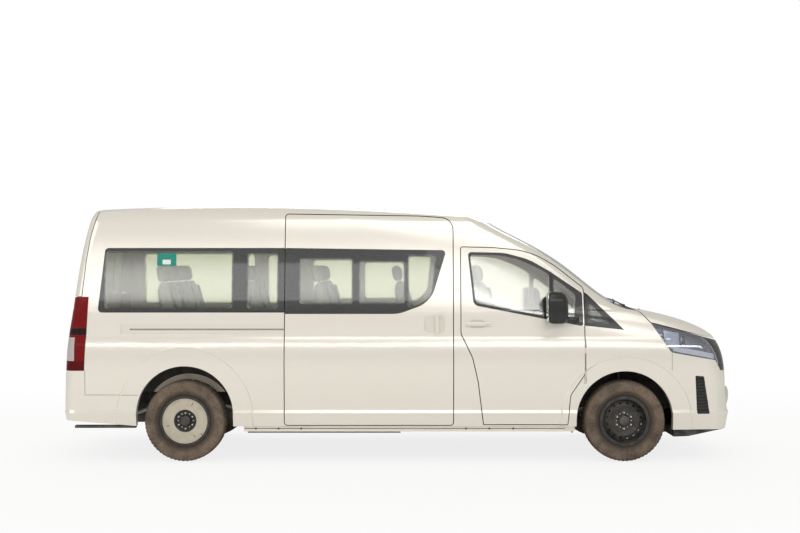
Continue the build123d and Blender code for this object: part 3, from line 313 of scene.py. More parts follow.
def cream_band(look):
    """Black wheel steel with a cream ring painted on its cover."""
    f = Finish("rear_disc", look.front_disc, 0.5, coat_weight=0.15)
    x, y, z = f.axes()
    dx = x - REAR_WHEEL.x
    dz = z - AXLE_Z
    radius = (dx * dx + dz * dz).root()
    ring = (abs(y) > WHEEL_Y + COVER_OUT - 0.008) * (radius < COVER_PAINT)
    film = f.ramp(f.noise(16.0, 7.0, rough=0.6), 0.42, 0.75) * 0.6
    cream = f.blend(film, look.rear_cover, (0.35, 0.30, 0.23))
    f.set("Base Color", f.blend(ring, f.blend(film, look.front_disc, (0.10, 0.08, 0.06)), cream))
    f.set("Roughness", 0.42 + film * 0.3)
    f.bump(f.noise(260.0, 3.0), 0.0003)
    return f.material


def arch_coat():
    """Wheelhouse steel: black underseal, and body primer inside the rear arches."""
    f = Finish("wheelhouse", (0.03, 0.03, 0.03), 0.75)
    x, y, z = f.axes()
    dx = x - REAR_AXLE
    dz = z - AXLE_Z
    far = (dx * dx + dz * dz) > ARCH_PRIMER ** 2
    dark = (x > 0.0).most(abs(y) > 0.80).most(far)
    film = f.ramp(f.noise(9.0, 6.0), 0.35, 0.7)
    primer = f.blend(film * 0.4, (0.72, 0.66, 0.55), (0.42, 0.37, 0.30))
    f.set("Base Color", f.blend(dark, primer, f.blend(film * 0.5, (0.025, 0.025, 0.025), (0.12, 0.10, 0.08))))
    f.bump(f.noise(120.0, 4.0), 0.0008)
    return f.material


def tail_lamp(look):
    """A red lens with a dark band, a clear part at the rear corner and a deeper red foot."""
    f = Finish("tail_lamp", (0.19, 0.002, 0.003), 0.30, specular_ior_level=0.12, coat_weight=0.08,
               coat_roughness=0.03)
    x, _, z = f.axes()
    level = lambda low, high: (z > low) * (z < high)
    clear = level(0.885, 1.090) * (x < TAIL + 0.118)
    band = level(1.112, 1.170)
    foot = z < 0.885
    lines = ((z * 520.0).sine() * 0.5 + 0.5)
    red = f.blend(foot, (0.20, 0.003, 0.004), (0.10, 0.002, 0.003))
    red = f.blend(lines * 0.25, red, (0.09, 0.001, 0.002))
    red = f.blend(band, red, (0.025, 0.004, 0.005))
    f.set("Base Color", f.blend(clear, red, f.blend(lines * 0.5, (0.62, 0.56, 0.57), (0.30, 0.22, 0.23))))
    f.bump(lines, 0.0006)
    return f.material


def bare_metal(name, color, roughness=0.35, rust=0.0):
    f = Finish(name, color, roughness, 1.0)
    streak = f.noise(30.0, 4.0, (1, 6, 6))
    f.set("Roughness", roughness - 0.06 + f.ramp(streak, 0.3, 0.7) * 0.15)
    if rust:
        spots = f.ramp(f.noise(22.0, 8.0, rough=0.65), 0.45, 0.62) * rust
        f.set("Base Color", f.blend(spots, color, (0.17, 0.075, 0.03)))
        f.set("Metallic", 1.0 - spots)
    f.bump(f.noise(300.0, 2.0), 0.0002)
    return f.material


def glazing(name, look, outlines, flat=(0, 2), tint=None, soft=0.02, corner=0.05, veil=0.055):
    """Glass that is clear inside the outlines and has a black printed border outside them."""
    tint = tint or look.glass_tint
    f = Finish(name, (0.012, 0.012, 0.013), 0.12, specular_ior_level=0.5, coat_weight=0.6,
               coat_roughness=0.03)
    places = f.axes()
    clear = None
    for outline in outlines:
        share = f.inside([places[flat[0]], places[flat[1]]], outline, soft, corner)
        clear = share if clear is None else clear.most(share)
    dots = f.ramp(f.noise(140.0, 1.0), 0.3, 0.6)
    f.set("Roughness", 0.20 + dots * 0.08)
    rim = f.node("LayerWeight", Blend=0.22)
    glass = f.node("BsdfTransparent", Color=tint)
    gloss = f.node("BsdfAnisotropic", Color=(1, 1, 1), Roughness=0.11)
    film = Level(f.tree, rim.outputs["Fresnel"]) * 0.9 + veil
    pane = f.node("MixShader", i0=film.clamp(), i1=glass.outputs[0], i2=gloss.outputs[0])
    closure = pane.outputs[0]
    if clear is not None:
        closure = f.node("MixShader", i0=clear, i1=f.shader.outputs[0], i2=pane.outputs[0]).outputs[0]
    f.show(closure)
    return f.material


def lens(name, color, density=0.15, roughness=0.02):
    """A moulded lamp cover: mostly clear, with a bright skin."""
    f = Finish(name, color, roughness)
    rim = f.node("LayerWeight", Blend=0.25)
    clear = f.node("BsdfTransparent", Color=color)
    gloss = f.node("BsdfAnisotropic", Color=(1, 1, 1), Roughness=roughness)
    share = Level(f.tree, rim.outputs["Fresnel"]) * 0.9 + density
    f.show(f.node("MixShader", i0=share.clamp(), i1=clear.outputs[0], i2=gloss.outputs[0]).outputs[0])
    return f.material


def cloth(name, color, thread):
    """Woven seat cover with ribs and a little fleck."""
    f = Finish(name, color, 0.92, sheen_weight=0.3, sheen_roughness=0.5)
    x, y, z = f.axes()
    ribs = (y * 900.0).sine() * 0.5 + ((x + z) * 900.0).sine() * 0.5
    fleck = f.ramp(f.noise(500.0, 2.0), 0.5, 0.62)
    f.set("Base Color", f.blend((fleck * 0.35 + f.noise(6.0, 3.0) * 0.2).clamp(), color, thread))
    f.bump(ribs, 0.0006, 0.5)
    return f.material


# rear edge, front edge, foot and top of each square side pane, lengthways from the front axle
SIDE_PANES = [(-4.570, -3.450, 1.346, 1.843), (-3.315, -3.050, 1.342, 1.827),
              (-2.855, -2.393, 1.387, 1.781), (-2.330, -1.932, 1.390, 1.757)]


def make_finishes(scene):
    """Every finish of the vehicle, by name."""
    body, wheel, glass = scene.minibus_body, scene.minibus_wheels, scene.minibus_glass
    made = {
        "body_paint": body_paint(body),
        "tyre_rubber": tyre_rubber(wheel),
        "black_disc": steel_disc("black_disc", wheel.front_disc, (0.10, 0.08, 0.06), 0.42),
        "cream_disc": steel_disc("cream_disc", wheel.rear_cover, (0.35, 0.30, 0.23), 0.5),
        "hub_black": plain("hub_black", (0.02, 0.02, 0.02), 0.4, grain=0.0002, dust=0.3),
        "chassis_black": plain("chassis_black", (0.035, 0.034, 0.033), 0.6, grain=0.0004, grain_scale=300,
                               dust=0.45),
        "bare_steel": bare_metal("bare_steel", (0.42, 0.41, 0.39), 0.38, 0.35),
        "bright_steel": bare_metal("bright_steel", (0.72, 0.71, 0.69), 0.22),
        "chrome": bare_metal("chrome", (0.82, 0.83, 0.84), 0.08),
        "satin_chrome": bare_metal("satin_chrome", (0.6, 0.6, 0.61), 0.28),
        "cast_iron": bare_metal("cast_iron", (0.22, 0.21, 0.2), 0.55, 0.6),
        "black_plastic": plain("black_plastic", (0.028, 0.028, 0.029), 0.55, grain=0.00025),
        "gloss_black": plain("gloss_black", (0.012, 0.012, 0.013), 0.12, coat_weight=0.8,
                             coat_roughness=0.04),
        "satin_black": plain("satin_black", (0.016, 0.016, 0.017), 0.35, coat_weight=0.3),
        # A dark brown for the painted shade line along the sill flange, with some dust in it.
        "road_grime": plain("road_grime", (0.20, 0.155, 0.105), 0.85, dust=0.4),
        "seam_rubber": plain("seam_rubber", (0.018, 0.018, 0.018), 0.75),
        "under_plastic": plain("under_plastic", (0.03, 0.03, 0.03), 0.7, grain=0.0004, dust=0.5),
        "cabin_grey": plain("cabin_grey", (0.23, 0.225, 0.215), 0.65, grain=0.0003),
        "cabin_dark": plain("cabin_dark", (0.05, 0.05, 0.052), 0.6, grain=0.0003),
        "headliner": plain("headliner", (0.62, 0.60, 0.55), 0.95, grain=0.0004, grain_scale=500),
        "floor_vinyl": plain("floor_vinyl", (0.16, 0.16, 0.165), 0.55, grain=0.0003, grain_scale=250),
        "seat_cloth": cloth("seat_cloth", scene.minibus_cabin.seat_cover, (0.16, 0.16, 0.17)),
        "seat_side": plain("seat_side", (0.09, 0.09, 0.095), 0.7, grain=0.0003),
        "belt_web": cloth("belt_web", (0.03, 0.03, 0.032), (0.08, 0.08, 0.085)),
        "lamp_lens": lens("lamp_lens", (0.93, 0.945, 0.985), 0.10),
        "lamp_mirror": plain("lamp_mirror", (0.78, 0.82, 0.92), 0.25, 0.3),
        "lamp_dark": plain("lamp_dark", (0.24, 0.25, 0.31), 0.22, 0.35, coat_weight=0.4),
        "lamp_white": plain("lamp_white", (0.82, 0.83, 0.86), 0.3),
        "boss_grey": plain("boss_grey", (0.56, 0.55, 0.50), 0.4),
        "amber_dark": plain("amber_dark", (0.05, 0.03, 0.02), 0.2, coat_weight=0.5),
        "lamp_ball": plain("lamp_ball", (0.10, 0.13, 0.17), 0.05, coat_weight=1.0, coat_roughness=0.01),
        "rear_disc": cream_band(wheel),
        "tail_lamp": tail_lamp(body),
        "wheelhouse": arch_coat(),
        "tail_red": plain("tail_red", (0.19, 0.002, 0.003), 0.30, coat_weight=0.45, coat_roughness=0.03),
        "tail_deep": plain("tail_deep", (0.035, 0.001, 0.002), 0.25, coat_weight=0.45, coat_roughness=0.03),
        "sticker_teal": plain("sticker_teal", (0.0, 0.23, 0.17), 0.4),
        "sticker_white": plain("sticker_white", (0.72, 0.78, 0.74), 0.4),
        "plate_white": plain("plate_white", (0.78, 0.78, 0.76), 0.35),
        "mirror_glass": bare_metal("mirror_glass", (0.9, 0.92, 0.93), 0.015),
    }
    side = []
    for rear, front, low, high in SIDE_PANES:
        rear, front = FRONT_AXLE + rear, FRONT_AXLE + front
        side.append([(rear, low), (front, low), (front, high), (rear, high)])
    side.append([(FRONT_AXLE - 1.900, 1.350), (FRONT_AXLE - 1.790, 1.368), (FRONT_AXLE - 1.690, 1.470),
                 (FRONT_AXLE - 1.655, 1.815), (FRONT_AXLE - 1.900, 1.815)])
    side.append([(DOOR_FRONT + 0.045, 1.238), (DOOR_FRONT + 0.205, 1.22), (DOOR_FRONT + 0.045, 1.40)])
    made["side_glass"] = glazing("side_glass", glass, side)
    door = [
        [(DOOR_REAR + 0.082, GLASS_TOP - 0.060), (DOOR_REAR + 0.130, 1.394), (DOOR_FRONT - 0.305, 1.268),
         (DOOR_FRONT - 0.305, 1.645), (DOOR_FRONT - 0.490, 1.750), (DOOR_FRONT - 0.690, GLASS_TOP - 0.064)],
        [(DOOR_FRONT - 0.268, 1.266), (DOOR_FRONT - 0.096, 1.226), (DOOR_FRONT - 0.072, 1.470),
         (DOOR_FRONT - 0.268, 1.612)],
    ]
    made["door_glass"] = glazing("door_glass", glass, door, tint=glass.front_tint, soft=0.008, veil=0.15)
    screen = [(-0.735, BELT + 0.06), (0.735, BELT + 0.06), (0.652, CANT - 0.05), (-0.652, CANT - 0.05)]
    made["windscreen"] = glazing("windscreen", glass, [screen], flat=(1, 2), tint=glass.front_tint, soft=0.03)
    back = [(-0.605, 1.432), (0.605, 1.432), (0.568, 1.928), (-0.568, 1.928)]
    made["back_glass"] = glazing("back_glass", glass, [back], flat=(1, 2), soft=0.02)
    return made


def finish(name):
    """The material of that name."""
    return bpy.data.materials[name]


NODE_FINISHES = {
    "body_paint": ["roof", "side_right", "side_left", "sliding_door", "bonnet", "front_bumper",
                   "fender_right",
                   "fender_left", "door_right", "door_left", "tailgate", "rear_bumper"],
    "black_plastic": ["cowl", "fuel_tank"],
    "gloss_black": ["grille", "pillar_trim", "mirror_right", "mirror_left"],
    "satin_chrome": ["lower_grille"],
    "windscreen": ["windscreen"],
    "back_glass": ["tailgate_glass"],
    "door_glass": ["door_glass_right", "door_glass_left"],
    "side_glass": ["side_glass_right", "side_glass_left"],
    "floor_vinyl": ["floor"],
    "chassis_black": ["firewall", "frame", "front_subframe", "rear_axle", "seat_stands"],
    "wheelhouse": ["wheelhouses"],
    "cast_iron": ["knuckle_right", "knuckle_left", "engine"],
    "bare_steel": ["leaf_springs", "propshaft", "exhaust"],
    "under_plastic": ["under_tray"],
    "cabin_grey": ["dashboard"],
    "cabin_dark": ["steering_wheel"],
    "black_disc": ["rim_front_right", "rim_front_left"],
    "rear_disc": ["rim_rear_right", "rim_rear_left"],
    "tyre_rubber": ["tyre_front_right", "tyre_front_left", "tyre_rear_right", "tyre_rear_left"],
    "seat_cloth": ["front_seats", "rear_seats"],
    "lamp_white": ["headlamps"],
    "tail_lamp": ["tail_lamps"],
}


# ---- mesh helpers -------------------------------------------------------------------------------
def new_piece(name, mesh, material, body, slot=None, stands_for=(), smooth=math.radians(35)):
    """Links a mesh as a piece that moves with a body."""
    if isinstance(mesh, bmesh.types.BMesh):
        made = bpy.data.meshes.new(name)
        bmesh.ops.recalc_face_normals(mesh, faces=mesh.faces)
        mesh.to_mesh(made)
        mesh.free()
        mesh = made
    piece = bpy.data.objects.new(name, mesh)
    bpy.context.scene.collection.objects.link(piece)
    for one in material if isinstance(material, (list, tuple)) else [material]:
        mesh.materials.append(finish(one))
    if smooth:
        mesh.shade_smooth()
        mesh.set_sharp_from_angle(angle=smooth)
    if body:
        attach(piece, body)
    if stands_for:
        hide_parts(*stands_for)
    return piece


def rounded(points, radii, steps=6):
    """A closed flat outline whose corners are arcs."""
    if not isinstance(radii, (list, tuple)):
        radii = [radii] * len(points)
    made = []
    for i, here in enumerate(points):
        here = Vector(here)
        back = Vector(points[i - 1]) - here
        ahead = Vector(points[(i + 1) % len(points)]) - here
        turn = back.angle(ahead)
        reach = min(radii[i] / math.tan(turn / 2), back.length * 0.49, ahead.length * 0.49)
        radius = reach * math.tan(turn / 2)
        if radius < 1e-5:
            made.append(tuple(here))
            continue
        middle = here + (back.normalized() + ahead.normalized()).normalized() * (radius / math.sin(turn / 2))
        first, last = here + back.normalized() * reach - middle, here + ahead.normalized() * reach - middle
        for k in range(steps + 1):
            spoke = first.lerp(last, k / steps)
            made.append(tuple(middle + spoke.normalized() * radius))
    return made


class Skin:
    """The outer surface of some nodes of the frame, to lay pieces on."""

    def __init__(self, *nodes):
        points, faces = [], []
        for name in nodes:
            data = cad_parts[name].data
            base = len(points)
            points += [v.co.copy() for v in data.vertices]
            faces += [[base + i for i in p.vertices] for p in data.polygons]
        self.tree = BVHTree.FromPolygons(points, faces)

    def hit(self, view, a, b):
        """The point and outward normal seen at flat place (a, b) from one side."""
        start, aim = {
            "right": (Vector((a, -3, b)), Vector((0, 1, 0))),
            "left": (Vector((a, 3, b)), Vector((0, -1, 0))),
            "front": (Vector((5, a, b)), Vector((-1, 0, 0))),
            "rear": (Vector((-5, a, b)), Vector((1, 0, 0))),
            "top": (Vector((a, b, 5)), Vector((0, 0, -1))),
        }[view]
        point, normal, _, _ = self.tree.ray_cast(start, aim)
        if point is None:
            return None, None
        return point, normal if normal.dot(aim) < 0 else -normal


def patch(skin, view, outline, lift, depth, cell=0.03):
    """A solid sheet laid on the skin inside a convex outline: proud by lift and depth thick."""
    xs, ys = [p[0] for p in outline], [p[1] for p in outline]
    low, high = (min(xs), min(ys)), (max(xs), max(ys))
    nx = max(1, round((high[0] - low[0]) / cell))
    ny = max(1, round((high[1] - low[1]) / cell))
    bm = bmesh.new()
    grid = [[bm.verts.new((low[0] + (high[0] - low[0]) * i / nx, low[1] + (high[1] - low[1]) * j / ny, 0))
             for j in range(ny + 1)] for i in range(nx + 1)]
    for i in range(nx):
        for j in range(ny):
            bm.faces.new((grid[i][j], grid[i + 1][j], grid[i + 1][j + 1], grid[i][j + 1]))
    middle = Vector((sum(xs) / len(xs), sum(ys) / len(ys)))
    for a, b in zip(outline, outline[1:] + outline[:1]):
        a, b = Vector(a[:2]), Vector(b[:2])
        if (b - a).length < 1e-6:
            continue
        out = Vector(((b - a).y, -(b - a).x))
        if out.dot(middle - a) > 0:
            out = -out
        bmesh.ops.bisect_plane(bm, geom=bm.verts[:] + bm.edges[:] + bm.faces[:], dist=1e-6,
                               plane_co=(a.x, a.y, 0), plane_no=(out.x, out.y, 0), clear_outer=True)
    bmesh.ops.remove_doubles(bm, verts=bm.verts, dist=1e-5)
    shift = {}
    for v in list(bm.verts):
        flat = Vector((v.co.x, v.co.y))
        for k in range(25):
            point, normal = skin.hit(view, *flat.lerp(middle, k / 25))
            if point is not None:
                break
        if point is not None:
            shift[v] = (point + normal * lift, normal)
        else:
            bm.verts.remove(v)
    for v, (point, _) in shift.items():
        v.co = point
    top = list(bm.faces)
    rim = [e for e in bm.edges if e.is_boundary]
    lower = {v: bm.verts.new(v.co - normal * depth) for v, (_, normal) in shift.items()}
    for f in top:
        bm.faces.new([lower[v] for v in reversed(f.verts)])
    for e in rim:
        a, b = e.verts
        bm.faces.new((a, b, lower[b], lower[a]))
    return bm


def sweep(paths, radius, sides=8, closed=False, flat=1.0):
    """Round bars along paths of points, in one mesh. flat squeezes the section's second axis."""
    bm = bmesh.new()
    for path in paths:
        path = [Vector(p) for p in path]
        rings = []
        side = None
        count = len(path)
        for i, point in enumerate(path):
            ahead = path[(i + 1) % count] if closed or i + 1 < count else point
            back = path[i - 1] if closed or i else point
            along = (ahead - back).normalized()
            if side is None:
                side = along.orthogonal().normalized()
            side = (side - along * side.dot(along)).normalized()
            up = along.cross(side)
            ring = []
            for k in range(sides):
                angle = 2 * math.pi * k / sides
                ring.append(bm.verts.new(point + side * (radius * math.cos(angle))
                                         + up * (radius * flat * math.sin(angle))))
            rings.append(ring)
        for i in range(count if closed else count - 1):
            a, b = rings[i], rings[(i + 1) % count]
            for k in range(sides):
                bm.faces.new((a[k], a[(k + 1) % sides], b[(k + 1) % sides], b[k]))
        if not closed:
            bm.faces.new(list(reversed(rings[0])))
            bm.faces.new(rings[-1])
    return bm


def smooth_path(points, steps=8, closed=False):
    """Catmull-Rom points through a short list."""
    pts = [Vector(p) for p in points]
    count = len(pts)
    made = []
    for i in range(count if closed else count - 1):
        at = lambda k: pts[(i + k) % count] if closed else pts[min(max(i + k, 0), count - 1)]
        p0, p1, p2, p3 = at(-1), at(0), at(1), at(2)
        for k in range(steps):
            t = k / steps
            made.append(0.5 * ((2 * p1) + (p2 - p0) * t + (2 * p0 - 5 * p1 + 4 * p2 - p3) * t * t
                               + (3 * p1 - p0 - 3 * p2 + p3) * t ** 3))
    if not closed:
        made.append(pts[-1])
    return made


def lathe(profile, centre, sign=-1, steps=64, bm=None, start=0.0):
    """A turned form about an axle across the vehicle. profile: (radius, distance outwards)."""
    bm = bm or bmesh.new()
    centre = Vector(centre)
    rings = []
    for k in range(steps):
        angle = start + 2 * math.pi * k / steps
        rings.append([bm.verts.new(centre + Vector((r * math.cos(angle), sign * out, r * math.sin(angle))))
                      for r, out in profile])
    for k in range(steps):
        a, b = rings[k], rings[(k + 1) % steps]
        for i in range(len(profile) - 1):
            bm.faces.new((a[i], a[i + 1], b[i + 1], b[i]))
    bmesh.ops.remove_doubles(bm, verts=bm.verts, dist=1e-6)
    return bm


def bead(bm, low, high, radius=0.01, turn=None, segments=2):
    """Adds a box between two corners with rounded edges, and turned by a matrix if one is given."""
    low, high = Vector(low), Vector(high)
    middle = (low + high) / 2
    made = bmesh.ops.create_cube(bm, size=1.0)
    size = high - low
    bmesh.ops.scale(bm, vec=[abs(s) for s in size], verts=made["verts"])
    edges = list({e for v in made["verts"] for e in v.link_edges})
    if radius:
        limit = min(abs(s) for s in size) * 0.49
        out = bmesh.ops.bevel(bm, geom=edges, offset=min(radius, limit), segments=segments, affect="EDGES",
                              profile=0.5)
        verts = list({v for f in out["faces"] for v in f.verts} | {v for v in made["verts"] if v.is_valid})
    else:
        verts = made["verts"]
    if turn is not None:
        bmesh.ops.transform(bm, matrix=turn.to_4x4(), verts=verts)
    bmesh.ops.translate(bm, vec=middle, verts=verts)
    return verts


def beads(*boxes, radius=0.01, segments=2):
    """Boxes with rounded edges, in one mesh."""
    bm = bmesh.new()
    for low, high in boxes:
        bead(bm, low, high, radius, segments=segments)
    return bm


def mirrored(bm):
    """The left-hand twin of a mesh."""
    made = bm.copy()
    for v in made.verts:
        v.co.y = -v.co.y
    bmesh.ops.reverse_faces(made, faces=made.faces)
    return made


def pair(name, bm, material, bodies, **rest):
    """A right-hand piece and its left-hand twin."""
    twin = mirrored(bm)
    first, second = bodies if isinstance(bodies, (list, tuple)) else (bodies, bodies)
    return [new_piece(name + "_right", bm, material, first, **rest),
            new_piece(name + "_left", twin, material, second, **rest)]


def thicken(bm, depth):
    """Turns a sheet into a solid, by a depth against its normals."""
    bm.normal_update()
    top = list(bm.faces)
    rim = [e for e in bm.edges if e.is_boundary]
    lower = {v: bm.verts.new(v.co - v.normal * depth) for v in list(bm.verts)}
    for f in top:
        bm.faces.new([lower[v] for v in reversed(f.verts)])
    for e in rim:
        a, b = e.verts
        bm.faces.new((a, b, lower[b], lower[a]))
    return bm


def node_sheet(node, keep, lift, depth):
    """The faces of a node that pass a test of normal and middle, as a solid sheet."""
    bm = bmesh.new()
    bm.from_mesh(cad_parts[node].data)
    bmesh.ops.remove_doubles(bm, verts=bm.verts, dist=1e-5)
    bm.normal_update()
    drop = [f for f in bm.faces if not keep(f.normal, f.calc_center_median())]
    bmesh.ops.delete(bm, geom=drop, context="FACES")
    bm.normal_update()
    for v, co in [(v, v.co + v.normal * lift) for v in bm.verts]:
        v.co = co
    return thicken(bm, depth)


def lay(skin, view, points, lift=0.0, step=0.03, closed=False):
    """A path on the skin through flat places."""
    path = []
    ends = points[1:] + (points[:1] if closed else [])
    for a, b in zip(points, ends):
        count = max(1, round(math.dist(a, b) / step))
        for k in range(count):
            point, normal = skin.hit(view, *[p + (q - p) * k / count for p, q in zip(a, b)])
            if point is not None:
                path.append(point + normal * lift)
    if not closed:
        point, normal = skin.hit(view, *points[-1])
        if point is not None:
            path.append(point + normal * lift)
    return path


def aimed(bm, place, direction):
    """Turns a form that was made about the Y axis, facing -Y, and puts it in its place."""
    turn = Vector((0, -1, 0)).rotation_difference(Vector(direction)).to_matrix().to_4x4()
    bmesh.ops.transform(bm, matrix=Matrix.Translation(Vector(place)) @ turn, verts=bm.verts)
    return bm


def joined(*meshes):
    """Several meshes in one."""
    bm = bmesh.new()
    for mesh in meshes:
        data = bpy.data.meshes.new("part")
        mesh.to_mesh(data)
        mesh.free()
        bm.from_mesh(data)
        bpy.data.meshes.remove(data)
    return bm


def disc(place, direction, profile, steps=32):
    """A turned form at a place, facing a direction."""
    return aimed(lathe(profile, (0, 0, 0), -1, steps), place, direction)


def pad(bm, size, place, turn=None, pull=0.05, crown=0.35, channels=(), rows=(), depth=0.006, cells=22,
        power=7.0):
    """Adds a stuffed form: crowned faces, rounded rims, sides drawn in between corners, sewn channels.

    size: width, length and thickness. channels and rows: places of seams across the width and the length.
    """
    half = [s / 2 for s in size]
    top, bottom = [], []
    for i in range(cells + 1):
        for j in range(cells + 1):
            u, v = (math.sin(math.pi / 2 * (2 * k / cells - 1)) for k in (i, j))
            rim = (max(0.0, 1 - abs(u) ** power) * max(0.0, 1 - abs(v) ** power)) ** (1 / 2.6)
            full = rim * (1 - crown * (1 - (1 - u * u) * (1 - v * v)))
            dent = sum(depth * math.exp(-((u - c) * half[0] / 0.006) ** 2) for c in channels)
            dent += sum(depth * math.exp(-((v - r) * half[1] / 0.006) ** 2) for r in rows)
            crease = 0.0016 * math.sin(v * 23 + u * 5) * abs(u) ** 3
            x = u * half[0] * (1 - pull * (1 - v * v) * abs(u))
            y = v * half[1] * (1 - pull * (1 - u * u) * abs(v))
            top.append((x, y, half[2] * full - (dent - crease) * rim))
            bottom.append((x, y, -half[2] * rim))
    matrix = Matrix.Translation(Vector(place)) @ (turn or Matrix()).to_4x4()
    side = cells + 1
    upper = [bm.verts.new(matrix @ Vector(p)) for p in top]
    lower = [bm.verts.new(matrix @ Vector(p)) for p in bottom]
    for i in range(cells):
        for j in range(cells):
            a, b, c, d = i * side + j, (i + 1) * side + j, (i + 1) * side + j + 1, i * side + j + 1
            bm.faces.new((upper[a], upper[b], upper[c], upper[d]))
            bm.faces.new((lower[d], lower[c], lower[b], lower[a]))
    rim_verts = [v for k, v in enumerate(upper + lower)
                 if (k % side ** 2) // side in (0, cells) or (k % side ** 2) % side in (0, cells)]
    bmesh.ops.remove_doubles(bm, verts=rim_verts, dist=1e-4)


def frame_axes(across, along):
    """A turn whose first two axes are given."""
    across, along = Vector(across).normalized(), Vector(along).normalized()
    return Matrix((across, along, across.cross(along))).transposed()


def rounded_loop(x0, x1, y0, y1, z):
    """The outer part of a rounded rectangle, level at a height."""
    flat = rounded([(x0, y1), (x0, y0), (x1, y0 + 0.030), (x1, y1)], [0.0, 0.020, 0.055, 0.0], 6)
    return [(x, y, z) for x, y in flat]


# ---- settings -----------------------------------------------------------------------------------
def color_property(name, default, description):
    """A colour setting."""
    return bpy.props.FloatVectorProperty(
        name=name, description=description, subtype="COLOR", size=3, min=0.0, max=1.0, default=default)


def length_property(name, default, description):
    """A length setting."""
    return bpy.props.FloatProperty(
        name=name, description=description, subtype="DISTANCE", unit="LENGTH", default=default)


class BodyLook(bpy.types.PropertyGroup):
    """Sizes and colours of the painted body."""

    paint: color_property("Paint", (0.815, 0.752, 0.655), "Colour of the painted panels")
    seal_depth: length_property("Seal depth", 0.030, "How far the door seals lie behind the skin")


class WheelLook(bpy.types.PropertyGroup):
    """Sizes and colours of wheels and tyres."""

    rubber: color_property("Rubber", (0.045, 0.036, 0.029), "Colour of clean tyre rubber")
    road_dust: color_property("Road dust", (0.27, 0.20, 0.145), "Colour of the dust on the tyres")
    front_disc: color_property("Front disc", (0.016, 0.015, 0.014), "Colour of the front wheels")
    rear_cover: color_property("Rear cover", (0.55, 0.50, 0.40), "Colour of the rear wheels' covers")
    groove: length_property("Groove depth", 0.007, "Depth of the tread grooves")
    pitches: bpy.props.IntProperty(name="Tread pitches", description="Tread blocks round a tyre",
                                   default=60, min=20)


class GlassLook(bpy.types.PropertyGroup):
    """Colours of the glazing."""

    glass_tint: color_property("Tint", (0.83, 0.84, 0.76),
                               "Colour that one rear pane gives to what is behind it")
    front_tint: color_property("Front tint", (0.92, 0.92, 0.87),
                               "The same for the windscreen and the front doors")


class CabinLook(bpy.types.PropertyGroup):
    """Colours and sizes of the cabin."""

    seat_cover: color_property("Seat cover", (0.050, 0.050, 0.054), "Colour of the seat fabric")
    headrest_width: length_property("Headrest width", 0.26, "Width of one headrest")


class StageLook(bpy.types.PropertyGroup):
    """Light and camera."""

    lens: bpy.props.FloatProperty(name="Lens", description="Focal length", subtype="DISTANCE_CAMERA",
                                  default=56.5)
    distance: length_property("Camera distance", 11.955, "Camera distance from the centre line")
    eye_height: length_property("Camera height", 1.713, "Camera height above the ground")
    floor: color_property("Floor", (0.93, 0.93, 0.92), "Colour of the floor")
    floor_glow: bpy.props.FloatProperty(name="Floor glow", description="Least share of plain white",
                                        default=0.82)


# ---- operators ----------------------------------------------------------------------------------
class MINIBUS_OT_finishes(bpy.types.Operator):
    """Makes the finishes and gives each node of the frame its own"""

    bl_idname = "minibus.finishes"
    bl_label = "Frame finishes"

    def execute(self, context):
        make_finishes(context.scene)
        for material, names in NODE_FINISHES.items():
            for name in names:
                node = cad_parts[name]
                node.data.materials.clear()
                node.data.materials.append(finish(material))
        return {"FINISHED"}


